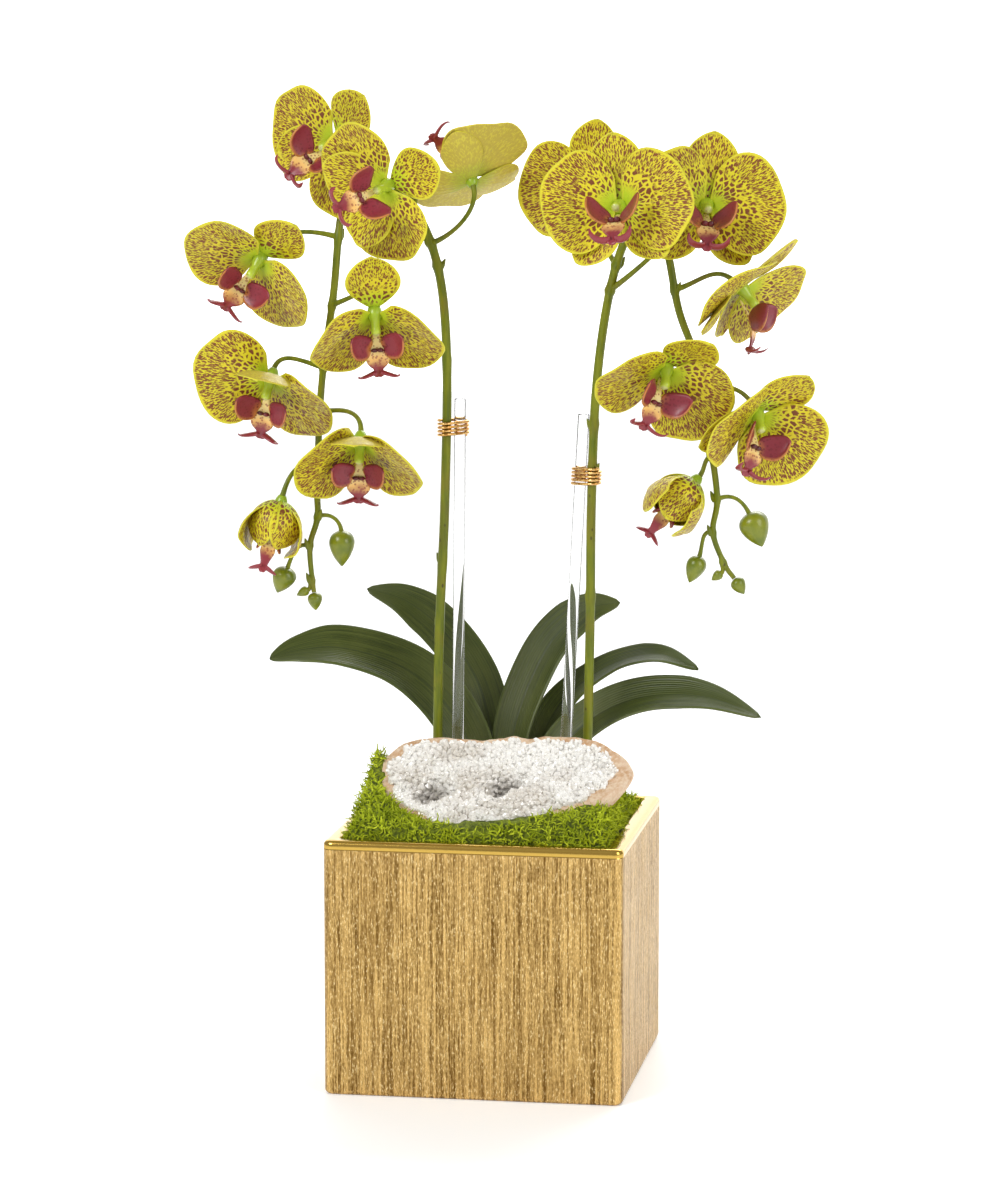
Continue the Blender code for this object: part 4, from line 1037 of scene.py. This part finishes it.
# Bare nodes on the rising lengths, heights from the crown in mm.
BARE_NODES = {"left": (95, 129, 233, 283), "right": (111, 178, 201)}
GAP = 0.3 * MM
SPIKE_ROOT, SPIKE_TIP = 2.5 * MM, 1.2 * MM
FLOWER_STALK, BUD_STALK = 1.15 * MM, 1.0 * MM


def at_height(path, z, falling):
    """Where a centre line passes a height, on its rising or its falling length, and its share there."""
    crossings = []
    for i, (a, b) in enumerate(zip(path, path[1:])):
        if min(a.z, b.z) <= z < max(a.z, b.z):
            crossings.append((a.lerp(b, (z - a.z) / (b.z - a.z)), i))
    return crossings[-1 if falling else 0]


def flower_stalk(start, end, end_way, rise, radius):
    """A flower stalk that leaves the spike outwards and upwards and meets the bloom's back squarely."""
    span = (end - start).length
    outward = Vector((end.x - start.x, end.y - start.y, 0)).normalized() + Vector((0, 0, rise))
    first = start + outward.normalized() * span * 0.45
    second = end - end_way * min(span * 0.45, 14 * MM)
    path, radii = [], []
    for step in range(25):
        t = step / 24
        path.append(start * (1 - t) ** 3 + first * 3 * t * (1 - t) ** 2
                    + second * 3 * t * t * (1 - t) + end * t ** 3)
        radii.append(radius * (1 + 0.45 * (1 - t) ** 6 + 0.35 * t ** 8))
    return path, radii


def bract(place, outward, radius):
    """A small pointed scale leaf that clasps a node."""
    foot = place + outward * radius * 0.55 - Vector((0, 0, 1.2 * MM))
    tip = place + outward * (radius + 1.4 * MM) + Vector((0, 0, 4.2 * MM))
    return [foot.lerp(tip, t) for t in (0, 0.3, 0.6, 0.85, 1)], [r * MM for r in (1.3, 1.5, 1.1, 0.6, 0.2)]


def bud(name, base, way, length, breadth, material):
    """A closed bud: broad by its stalk, pointed at its free end, with three faint seams."""
    side = way.orthogonal().normalized()
    across = way.cross(side)
    line = smooth_path(BUD_PROFILE, 4)
    sides = 24
    points = []
    for p in line:
        for k in range(sides):
            turn = 2 * pi * k / sides
            lobed = 1 - 0.055 * max(cos(3 * turn), 0) ** 6 + 0.02 * cos(2 * turn)
            radius = breadth / 2 * max(p.x, 0.02) * lobed
            points.append(base + way * length * p.z + radius * (cos(turn) * side + sin(turn) * across)
                          + side * 0.06 * length * max(p.z, 0) ** 2)
    faces = skin(len(line), sides)
    last = (len(line) - 1) * sides
    faces.append(tuple(range(sides)))
    faces.append(tuple(range(last, last + sides)))
    piece = mesh_piece(f"closed_{name}", points, faces, [material])
    face_outward(piece)
    hand_over(piece, "bud", name)


def spray(side, finishes, draw):
    """One spike with its flowers and buds."""
    route = [planted(p) for p in ROUTES[side]]
    path = smooth_path([planted(ROOTS[side])] + route, 16)
    last = len(path) - 1
    radii = [SPIKE_ROOT + (SPIKE_TIP - SPIKE_ROOT) * (i / last) ** 1.5 for i in range(last + 1)]
    lines, nodes = [], []
    for name, centre, aim, scale, height, falling, rise in BLOOMS[side]:
        turn = facing(*aim)
        centre = planted(centre)
        matrix = Matrix.Translation(centre) @ turn.to_4x4() @ Matrix.Scale(scale, 4)
        bloom(name, matrix, (finishes["petal"], finishes["column"], finishes["sepal"]), draw)
        lip(name, matrix, finishes["lip"])
        way = turn @ Vector((0, 0, 1))
        start, index = at_height(path, height * MM + CROWN.z, falling)
        back = centre - way * (HUB_BACK * scale - GAP)
        lines.append(flower_stalk(start, back, way, rise, FLOWER_STALK))
        nodes.append((start, index))
    for name, centre, aim, length, breadth, height, rise in BUDS[side]:
        way = facing(*aim) @ Vector((0, 0, 1))
        base = planted(centre) - way * length * MM / 2
        bud(f"bud_{name}", base, way, length * MM, breadth * MM, finishes["bud"])
        start, index = at_height(path, height * MM + CROWN.z, True)
        lines.append(flower_stalk(start, base + way * GAP, way, rise, BUD_STALK))
        nodes.append((start, index))
    way = (route[-1] - route[-2]).normalized()
    bud(f"bud_{side}_4", route[-1] + way * GAP, way, TIP_BUD[0] * MM, TIP_BUD[1] * MM, finishes["bud"])
    for height in BARE_NODES[side]:
        nodes.append(at_height(path, height * MM + CROWN.z, False))
    for place, index in nodes:
        for i in range(max(index - 6, 0), min(index + 8, last)):
            away = (path[i] - place).length
            radii[i] *= 1 + 0.34 * np.exp(-(away / (1.8 * MM)) ** 2)
        flat = draw.uniform(0, 6.28)
        lines.append(bract(place, Vector((cos(flat), sin(flat), 0)), radii[index]))
    lines.append((path, radii))
    piece = strands(f"stem_{side}", lines, 14, finishes["stem"])
    hand_over(piece, "stem", f"spike_{side}")
    return path


# ------------------------------------------------------------------ rods and ties
# Rods: a low and the top point of each, from the crown, and the height of its tie, in mm.
STAKES = {
    "left": ((-26, -12, 29), (-24.5, -12, 214), 199),
    "right": ((31, -11, 29), (40.5, -13, 207), 175),
}
STAKE_RADIUS = 3 * MM
STAKE_DEPTH = 35 * MM
WIRE_RADIUS = 0.75 * MM
WIRE_REACH = STAKE_RADIUS + 1.2 * MM
WIRE_PITCH = 1.9 * MM
WIRE_TURNS = 4.5


def rod_and_tie(side, stem_path, finishes):
    """A clear rod with a softened end, and the wire wound round it and the stem."""
    low, high = (planted(p) for p in STAKES[side][:2])
    foot = low + (high - low) * ((CROWN.z - STAKE_DEPTH - low.z) / (high.z - low.z))
    lean = (high - foot).normalized()
    line = [foot, foot + lean * 1 * MM, high - lean * 0.6 * MM, high - lean * 0.2 * MM, high]
    piece = strands(f"rod_{side}", [(line, [2.7 * MM, STAKE_RADIUS, STAKE_RADIUS, 2.8 * MM, 2.4 * MM])],
                    36, finishes["acrylic"])
    hand_over(piece, "acrylic", f"stake_{side}")
    level = STAKES[side][2] * MM + CROWN.z
    rod = foot.lerp(high, (level - foot.z) / (high.z - foot.z))
    stem, _ = at_height(stem_path, level, False)
    between = rod - stem
    between.z = 0
    along = between.normalized()
    across = Vector((-along.y, along.x, 0))
    steps = 40
    coil = []
    for i in range(int(WIRE_TURNS * steps) + 1):
        angle = 2 * pi * i / steps
        share = 0.5 + 0.5 * max(-1, min(1, 1.6 * cos(angle)))
        centre = stem.lerp(rod, share)
        height = WIRE_PITCH * (i / steps - WIRE_TURNS / 2)
        coil.append(centre + WIRE_REACH * (cos(angle) * along + sin(angle) * across) + lean * height)
    piece = strands(f"wire_{side}", [(coil, [WIRE_RADIUS] * len(coil))], 10, finishes["wire"])
    hand_over(piece, "copper_wire", f"tie_{side}")


# ------------------------------------------------------------------ leaves
# Leaves: midrib from the crown in mm, half breadth in mm, and the way the upper face looks.
LEAVES = {
    "leaf_1": (((-14, 1, 4), (-23, 7, 29), (-40, 11, 53), (-62, 12, 69), (-92, 8, 78),
                (-114, 3, 77), (-129, -2, 73)), 15, (-0.1, -0.65, 0.75)),
    "leaf_2": (((-9, 15, 7), (-14, 22, 34), (-23, 27, 61), (-41, 31, 85), (-62, 32, 101),
                (-83, 32, 107)), 12.5, (0.3, -0.9, 0.35)),
    "leaf_3": (((-1, 5, 7), (0, 10, 34), (7, 17, 59), (19, 24, 83), (37, 28, 99),
                (54, 30, 103)), 12.5, (-0.3, -0.9, 0.35)),
    "leaf_4": (((9, 16, 7), (14, 23, 32), (27, 29, 53), (51, 27, 70), (76, 18, 77),
                (98, 12, 71)), 10.5, (0.05, -0.5, 0.85)),
    "leaf_5": (((16, -1, 4), (28, 6, 30), (48, 11, 47), (73, 11, 56), (104, 4, 57),
                (133, -4, 49)), 13, (0.1, -0.6, 0.8)),
}
LEAF_FOLD = 0.22
LEAF_THICKNESS = 1.5 * MM
LEAF_SEAT = BLOCK_HIGH.z + 4 * MM


def leaf(name, material, draw):
    """A long strap leaf with a folded foot, a keeled midrib and a slight wave."""
    points, half, face = LEAVES[name]
    seat = planted(points[0])
    seat.z = LEAF_SEAT
    midrib = smooth_path([seat] + [planted(p) for p in points], 10)
    last = len(midrib) - 1
    v = np.sin(np.linspace(-1, 1, 27) * pi / 2 * 0.9) / sin(pi / 2 * 0.9)
    look = Vector(face)
    phase = draw.uniform(0, 6.28)
    rows, widths = [], []
    for i, centre in enumerate(midrib):
        share = i / last
        tangent = (midrib[min(i + 1, last)] - midrib[max(i - 1, 0)]).normalized()
        normal = (look - look.dot(tangent) * tangent).normalized()
        across = tangent.cross(normal)
        width = half * MM * (0.30 + 0.70 * sin(pi * min(share / 1.16, 1.0)) ** 0.9)
        width = max(width * min(1.0, sqrt(max(1 - share, 0) * 4.2)), 0.15 * MM)
        rise = width * (LEAF_FOLD + 0.55 * (1 - share) ** 4)
        wave = 0.6 * MM * np.sin(share * 9 + phase + v * 1.5) * v ** 2 * share
        keel = -0.55 * MM * np.exp(-(v / 0.09) ** 2) * (1 - share)
        lift = rise * np.abs(v) ** 1.5 + wave + keel
        rows.append(np.array(centre) + np.outer(v * width, across) + np.outer(lift, normal))
        widths.append(width)
    surface = np.array(rows)
    along = np.linspace(0, 1, last + 1)[:, None]
    edge = np.minimum(np.array(widths)[:, None] * (1 - np.abs(v)), (1 - along) * 60 * MM + 0.02 * MM)
    length = sum((b - a).length for a, b in zip(midrib, midrib[1:]))
    front = stacked(along * length * 10, v[None, :], 0.0)
    back = stacked(along * length * 10, v[None, :], 1.0)
    points, faces, blade = thin_solid(surface, edge, LEAF_THICKNESS, front, back)
    piece = mesh_piece(f"strap_{name}", points, faces, [material], {"blade": blade})
    face_outward(piece)
    hand_over(piece, "leaf", name)


# ------------------------------------------------------------------ pot
GROOVE_DEPTH = 0.20 * MM
POLISHED_BAND = 4.2 * MM
POT_FLOOR = 12 * MM


def comb_field(count, rows, draw):
    """Groove depth round the pot and up it: ragged upright lines that drift slowly with height."""
    bands = []
    for _ in range(9):
        raw = draw.random(count)
        fine = np.convolve(np.concatenate([raw[-1:], raw, raw[:1]]), [0.1, 0.8, 0.1], "valid")
        bands.append((fine - 0.5) * 1.2 + 0.5)
    field = np.zeros((rows, count))
    for i in range(rows):
        place = i / max(rows - 1, 1) * (len(bands) - 1)
        low = int(min(place, len(bands) - 2))
        share = place - low
        share = share * share * (3 - 2 * share)
        field[i] = bands[low] * (1 - share) + bands[low + 1] * share
    return np.clip(field * 0.6 + bands[0] * 0.4, 0, 1)


def pot(material, draw):
    """The square pot: combed walls, a smooth rounded rim and foot, a plain inside."""
    per_side, per_corner = 300, 7
    corner, inner_corner = 5 * MM, 2 * MM
    round_rim, round_foot = 2.5 * MM, 2.5 * MM

    def square(half, radius):
        """One level's points and the ways they face: four sides and four rounded corners."""
        ring = []
        for side in range(4):
            turn = side * pi / 2
            spin = np.array([[cos(turn), -sin(turn)], [sin(turn), cos(turn)]])
            for t in np.linspace(-1, 1, per_side, endpoint=False):
                ring.append((spin @ np.array([half, t * (half - radius)]), spin @ np.array([1, 0])))
            for step in range(per_corner):
                angle = step / per_corner * pi / 2
                way = np.array([cos(angle), sin(angle)])
                ring.append((spin @ (np.array([half - radius] * 2) + radius * way), spin @ way))
        return ring

    levels = [(POT_HALF - round_foot, 0.0, 0.0)]
    for degrees in (22, 45, 68, 90):
        swing = radians(degrees)
        levels.append((POT_HALF - round_foot * (1 - sin(swing)), round_foot * (1 - cos(swing)), 0.3))
    smooth_from = POT_HEIGHT - POLISHED_BAND
    for z in np.linspace(5 * MM, smooth_from - 0.6 * MM, 26):
        levels.append((POT_HALF, z, 1.0))
    levels.append((POT_HALF, smooth_from, 0.0))
    for degrees in (0, 22, 45, 68, 90):
        swing = radians(degrees)
        levels.append((POT_HALF - round_rim * (1 - cos(swing)),
                       POT_HEIGHT - round_rim * (1 - sin(swing)), 0.0))
    for degrees in (90, 68, 45, 22, 0):
        swing = radians(degrees)
        levels.append((CAVITY_HALF + round_rim * (1 - cos(swing)),
                       POT_HEIGHT - round_rim * (1 - sin(swing)), 0.0))
    levels.append((CAVITY_HALF, POT_FLOOR, 0.0))
    count = 4 * (per_side + per_corner)
    field = comb_field(count, len(levels), draw)
    points, values = [], []
    for i, (half, z, combed) in enumerate(levels):
        radius = max(corner - (POT_HALF - half), inner_corner)
        for k, (place, way) in enumerate(square(half, radius)):
            place = place - way * combed * field[i, k] * GROOVE_DEPTH
            points.append((place[0], place[1], z))
            polished = 1.0 if z >= smooth_from else 0.0
            values.append((1 - field[i, k] if combed else 0.5, polished, 0))
    faces = skin(len(levels), count)
    faces.append(tuple(range(count)))
    last = (len(levels) - 1) * count
    faces.append(tuple(range(last, last + count)))
    piece = mesh_piece("combed_pot", points, faces, [material], {"comb": values})
    face_outward(piece)
    hand_over(piece, "gold_glaze", "pot")


# ------------------------------------------------------------------ geode
# Reach of the broken edge round its centre: angle in degrees, reach in mm. Its left end is blunt and
# tall, its top nearly straight, and its right end low and pointed.
GEODE_EDGE = ((-172, 57), (-150, 47), (-122, 43), (-73, 41), (-46, 44), (-20, 58), (0, 67), (22, 56),
              (45, 42), (67, 33), (109, 34), (126, 44), (145, 66), (162, 73))


def geode_edge(angle):
    """Reach of the broken face's edge at an angle round its centre."""
    places, reaches = zip(*GEODE_EDGE)
    near = [np.interp(np.degrees(angle) + step, places, reaches, period=360) for step in (-4, 0, 4)]
    return float(near[0] + 2 * near[1] + near[2]) / 4 * MM


def grain(point, scale, seed=0.0):
    """Smooth repeatable noise about zero."""
    return noise.noise(Vector(point) * scale + Vector((seed, seed * 0.7, -seed)))


def geode(materials):
    """Half a geode: a lumpy crust behind, a druse of quartz with two hollows in front."""
    sides = 132

    def floor_depth(u, v):
        """How far the druse lies below the broken edge's plane."""
        depth = 1.5 * MM
        for cx, cy, rx, ry, deep in GEODE_HOLLOWS:
            depth += deep * MM * np.exp(-((u / MM - cx) / rx) ** 2 - ((v / MM - cy) / ry) ** 2)
        return depth

    points, values = [], []
    rings = [("back", s) for s in np.linspace(0.08, 1.0, 16)] + [("lip", 0.985), ("lip", 0.955)]
    rings += [("face", s) for s in np.linspace(0.93, 0.04, 30)]
    for kind, share in rings:
        for k in range(sides):
            angle = 2 * pi * k / sides
            reach = geode_edge(angle)
            jag = 1 + 0.030 * grain((cos(angle) * 3, sin(angle) * 3, 0), 1.6, 3) \
                + 0.014 * grain((cos(angle) * 9, sin(angle) * 9, 0), 1.3, 5)
            u, v = reach * share * jag * cos(angle), reach * share * jag * sin(angle)
            if kind == "back":
                swing = share * pi / 2
                spread = sin(swing) / share
                u, v = u * spread, v * spread
                z = -GEODE_DEPTH * cos(swing) - 1.0 * MM
                z += 2.2 * MM * grain((u, v, z), 70) * (1 - share ** 6)
                druse = 0.0
            elif kind == "lip":
                z = 0.6 * MM * grain((u, v, 0), 160) + (0.4 * MM if share > 0.97 else 0.2 * MM)
                druse = 0.0
            else:
                crust = 0.93 - 0.13 * max(cos(angle + 0.75), 0) ** 3
                fall = min(max((crust - share) / 0.16, 0.0), 1.0)
                z = -floor_depth(u, v) * fall
                z += (3.2 * MM * grain((u, v, 0), 105, 2) + 1.8 * MM * grain((u, v, 0), 260, 4)) * fall
                druse = 0.0 if fall <= 0 else min(1.0, 0.45 + fall)
            points.append(GEODE_CENTRE + GEODE_TURN @ Vector((u, v, z)))
            values.append((druse, 0, 0))
    faces = skin(len(rings), sides)
    first, last = tuple(range(sides)), tuple(range(len(points) - sides, len(points)))
    faces += [first, last]
    slots = [1 if min(values[i][0] for i in f) > 0 else 0 for f in faces]
    slots[-2] = 0
    piece = mesh_piece("geode_half", points, faces, [materials["rind"], materials["quartz"]],
                       {"druse": values}, slots=slots)
    face_outward(piece)
    crystals(piece, materials["quartz"])
    hand_over(piece, "quartz", "geode")


def scatter_tree(name, material, shapes, seed, pick, tone=False):
    """Geometry nodes that stand small shapes on a surface where attribute 'pick' is above a half."""
    tree = bpy.data.node_groups.new(name, "GeometryNodeTree")
    face = tree.interface
    face.new_socket("Geometry", in_out="INPUT", socket_type="NodeSocketGeometry")
    sockets = {label: face.new_socket(label, in_out="INPUT", socket_type="NodeSocketFloat")
               for label in ("Spacing", "Density", "Smallest", "Largest", "Lean")}
    face.new_socket("Geometry", in_out="OUTPUT", socket_type="NodeSocketGeometry")
    nodes, links = tree.nodes, tree.links

    def node(kind, inputs=(), **settings):
        """One node with its settings and inputs; an input is a socket or a value."""
        made = nodes.new(kind)
        for key, value in settings.items():
            setattr(made, key, value)
        for key, value in dict(inputs).items():
            if isinstance(value, bpy.types.NodeSocket):
                links.new(value, made.inputs[key])
            else:
                made.inputs[key].default_value = value
        return made

    start = node("NodeGroupInput")
    named = node("GeometryNodeInputNamedAttribute", {"Name": pick}, data_type="FLOAT_VECTOR")
    split = node("ShaderNodeSeparateXYZ", {"Vector": named.outputs["Attribute"]})
    chosen = node("FunctionNodeCompare", {"A": split.outputs["X"], "B": 0.5}, operation="GREATER_THAN")
    dots = node("GeometryNodeDistributePointsOnFaces", {
        "Mesh": start.outputs["Geometry"], "Selection": chosen.outputs["Result"],
        "Distance Min": start.outputs["Spacing"], "Density Max": start.outputs["Density"],
        "Seed": seed}, distribute_method="POISSON")
    size = node("FunctionNodeRandomValue", {"Min": start.outputs["Smallest"],
                                            "Max": start.outputs["Largest"], "Seed": seed + 1},
                data_type="FLOAT")
    spin = node("FunctionNodeRandomValue", {"Seed": seed + 2}, data_type="FLOAT_VECTOR")
    lean = node("ShaderNodeVectorMath", {0: spin.outputs[0], 1: (0.5, 0.5, 0.5)}, operation="SUBTRACT")
    wide = node("ShaderNodeCombineXYZ", {"X": start.outputs["Lean"], "Y": start.outputs["Lean"],
                                         "Z": 2 * pi})
    bend = node("ShaderNodeVectorMath", {0: lean.outputs["Vector"], 1: wide.outputs["Vector"]},
                operation="MULTIPLY")
    tilt = node("FunctionNodeEulerToRotation", {"Euler": bend.outputs["Vector"]})
    both = node("FunctionNodeRotateRotation", {"Rotation": dots.outputs["Rotation"],
                                               "Rotate By": tilt.outputs["Rotation"]},
                rotation_space="LOCAL")
    family = node("GeometryNodeCollectionInfo", {"Collection": shapes, "Separate Children": True,
                                                 "Reset Children": True})
    stand = node("GeometryNodeInstanceOnPoints", {
        "Points": dots.outputs["Points"], "Instance": family.outputs["Instances"],
        "Pick Instance": True, "Rotation": both.outputs["Rotation"], "Scale": size.outputs[1]})
    made = stand.outputs["Instances"]
    if tone:
        shade = node("FunctionNodeRandomValue", {"Seed": seed + 3}, data_type="FLOAT")
        store = node("GeometryNodeStoreNamedAttribute", {
            "Geometry": made, "Name": "tone", "Value": shade.outputs[1]}, data_type="FLOAT",
            domain="INSTANCE")
        made = store.outputs["Geometry"]
    real = node("GeometryNodeRealizeInstances", {"Geometry": made})
    finish = node("GeometryNodeSetMaterial", {"Geometry": real.outputs["Geometry"],
                                              "Material": material})
    end = node("NodeGroupOutput")
    links.new(finish.outputs["Geometry"], end.inputs[0])
    return tree, {label: socket.identifier for label, socket in sockets.items()}


def shape_family(name, solids):
    """A collection of small shapes for scattering, kept out of the scene."""
    family = bpy.data.collections.new(name)
    for i, (points, faces) in enumerate(solids):
        mesh = bpy.data.meshes.new(f"{name}_{i}")
        mesh.from_pydata([tuple(p) for p in points], [], faces)
        family.objects.link(bpy.data.objects.new(f"{name}_{i}", mesh))
    return family


def clear_family(family):
    """Takes a collection of small shapes away again."""
    for obj in list(family.objects):
        bpy.data.objects.remove(obj)
    bpy.data.collections.remove(family)


def crystal(height, radius, seed):
    """A six-sided quartz point with an uneven tip."""
    draw = np.random.default_rng(seed)
    corners = [(radius * cos(pi * k / 3), radius * sin(pi * k / 3)) for k in range(6)]
    points = [Vector((x, y, -0.4 * height)) for x, y in corners]
    points += [Vector((x, y, height * (0.55 + draw.uniform(-0.1, 0.1)))) for x, y in corners]
    points.append(Vector((draw.uniform(-0.3, 0.3) * radius, draw.uniform(-0.3, 0.3) * radius, height)))
    faces = [(k, (k + 1) % 6, 6 + (k + 1) % 6, 6 + k) for k in range(6)]
    faces += [(6 + k, 6 + (k + 1) % 6, 12) for k in range(6)] + [(5, 4, 3, 2, 1, 0)]
    return points, faces


def crystals(body, material):
    """Quartz points all over the druse."""
    family = shape_family("quartz_points", [crystal(1.0, 0.42, 1), crystal(1.0, 0.6, 2),
                                            crystal(0.8, 0.5, 3), crystal(1.15, 0.38, 4)])
    tree, ids = scatter_tree("druse", material, family, 11, "druse")
    obj = shown("quartz_druse", body.data.copy())
    grown(obj, tree, {ids["Spacing"]: 1.2 * MM, ids["Density"]: 1.2e6, ids["Smallest"]: 1.2 * MM,
                      ids["Largest"]: 3.4 * MM, ids["Lean"]: 1.5})
    clear_family(family)
    hand_over(obj, "quartz")


# ------------------------------------------------------------------ moss
def tuft(seed, arms, length, radius):
    """A small curly forked tuft of moss."""
    draw = np.random.default_rng(seed)
    points, faces = [], []
    for arm in range(arms):
        angle = 2 * pi * arm / arms + draw.uniform(-0.5, 0.5)
        spread = draw.uniform(0.35, 1.0)
        place = Vector((0, 0, -0.2 * length))
        heading = Vector((cos(angle) * spread, sin(angle) * spread, 0.9))
        path = [place.copy()]
        for _ in range(4):
            heading = (heading.normalized() + Vector(draw.uniform(-0.75, 0.75, 3))).normalized()
            place = place + heading * length * draw.uniform(0.22, 0.36)
            path.append(place.copy())
        ring = []
        for i, p in enumerate(path):
            thick = radius * (1.15 - 0.2 * i)
            ring.append([len(points) + k for k in range(3)])
            for k in range(3):
                turn = 2 * pi * k / 3 + i * 0.5
                points.append(p + thick * Vector((cos(turn), sin(turn), 0.35 * cos(turn + 1))))
        for a, b in zip(ring, ring[1:]):
            faces += [(a[k], a[(k + 1) % 3], b[(k + 1) % 3], b[k]) for k in range(3)]
        faces += [tuple(reversed(ring[0])), tuple(ring[-1])]
    return points, faces


# Heaps of the moss cushion: x, y, rise and spread, in mm.
MOSS_HEAPS = ((-64, -2, 31, 13), (-60, -32, 14, 12), (-50, -56, 8, 13), (-4, -62, 7, 20), (32, -60, 10, 14),
              (58, -46, 14, 12), (62, -18, 19, 11), (0, 50, 6, 34))
# The tufts are two pieces, parted here.
MOSS_PARTING = -14 * MM


def moss_height(x, y):
    """Top of the moss cushion: it dips to the wall all round and heaps up where it was pushed in."""
    inset = min(CAVITY_HALF - abs(x), CAVITY_HALF - abs(y))
    height = POT_HEIGHT - 5 * MM + 6 * MM * (1 - np.exp(-inset / (4 * MM)))
    for heap_x, heap_y, rise, spread in MOSS_HEAPS:
        away = ((x - heap_x * MM) ** 2 + (y - heap_y * MM) ** 2) / (2 * (spread * MM) ** 2)
        height += rise * MM * np.exp(-away) * min(1.0, 0.25 + inset / (6 * MM))
    return height + 2.2 * MM * grain((x, y, 0), 120, 8) + 1.0 * MM * grain((x, y, 0), 320, 9)


def in_geode(point):
    """Whether a place is inside the geode or over its face."""
    u, v, w = GEODE_TURN.transposed() @ (point - GEODE_CENTRE)
    share = sqrt(max(1 - (min(w, 0) / GEODE_DEPTH) ** 2, 0))
    return sqrt(u * u + v * v) < geode_edge(atan2(v, u)) * share and w > -GEODE_DEPTH


def tufts(name, points, faces, material):
    """Tufts of moss all over some faces of the cushion."""
    mesh = bpy.data.meshes.new(name)
    mesh.from_pydata([tuple(p) for p in points], [], faces)
    grow = mesh.attributes.new("grow", "FLOAT_VECTOR", "POINT")
    grow.data.foreach_set("vector", [1.0] * (3 * len(mesh.vertices)))
    obj = shown(name, mesh)
    family = shape_family("moss_tufts", [tuft(1, 4, 0.8, 0.105), tuft(2, 5, 0.9, 0.09),
                                         tuft(3, 5, 0.7, 0.10), tuft(4, 4, 0.8, 0.10)])
    tree, ids = scatter_tree(f"{name}_tufts", material, family, 21, "grow", tone=True)
    grown(obj, tree, {ids["Spacing"]: 2.0 * MM, ids["Density"]: 2.6e5, ids["Smallest"]: 3.6 * MM,
                      ids["Largest"]: 7.4 * MM, ids["Lean"]: 1.6})
    clear_family(family)
    hand_over(obj, "moss")


def moss(finishes):
    """The moss cushion with tufts all over it, clear of the geode."""
    cells, half = 66, CAVITY_HALF - 0.4 * MM
    steps = np.linspace(-half, half, cells + 1)
    points = [Vector((x, y, moss_height(x, y))) for y in steps for x in steps]
    row = cells + 1
    faces = [(r * row + c, r * row + c + 1, (r + 1) * row + c + 1, (r + 1) * row + c)
             for r in range(cells) for c in range(cells)]
    rim = [c for c in range(row)] + [r * row + cells for r in range(1, row)]
    rim += [cells * row + c for c in range(cells - 1, -1, -1)] + [r * row for r in range(cells - 1, 0, -1)]
    low = len(points)
    points += [Vector((points[i].x, points[i].y, BLOCK_HIGH.z + 0.5 * MM)) for i in rim]
    for k in range(len(rim)):
        j = (k + 1) % len(rim)
        faces.append((rim[j], rim[k], low + k, low + j))
    faces.append(tuple(range(low, low + len(rim))))
    cushion = mesh_piece("moss_cushion", points, faces, [finishes["moss_bed"]])
    face_outward(cushion)
    hand_over(cushion, "moss", "moss_bed")
    front, back = [], []
    for face in faces[:cells * cells]:
        centre = sum((points[i] for i in face), Vector()) / 4
        if not in_geode(centre):
            (front if centre.y < MOSS_PARTING else back).append(face)
    tufts("moss_front", points[:low], front, finishes["moss"])
    tufts("moss_back", points[:low], back, finishes["moss"])


# ------------------------------------------------------------------ whole arrangement
def arrange():
    """Makes every finish and piece."""
    draw = np.random.default_rng(SEED)
    finishes = {
        "petal": petal_finish("petal", 0.45, 1.0), "sepal": petal_finish("sepal", -0.15, 0.92),
        "lip": lip_finish(), "column": column_finish(), "stem": stem_finish(), "bud": bud_finish(),
        "leaf": leaf_finish(), "gold": gold_finish(), "foam": foam_finish(), "moss": moss_finish(),
        "moss_bed": moss_bed_finish(), "quartz": quartz_finish(), "rind": rind_finish(),
        "acrylic": acrylic_finish(), "wire": wire_finish(),
    }
    for side in ("left", "right"):
        path = spray(side, finishes, draw)
        rod_and_tie(side, path, finishes)
    for name in LEAVES:
        leaf(name, finishes["leaf"], draw)
    pot(finishes["gold"], draw)
    geode(finishes)
    moss(finishes)
    block = frame["nodes"]["filling_block"]
    block.data.materials.clear()
    block.data.materials.append(finishes["foam"])


camera()
studio()
arrange()

bpy.context.view_layer.update()
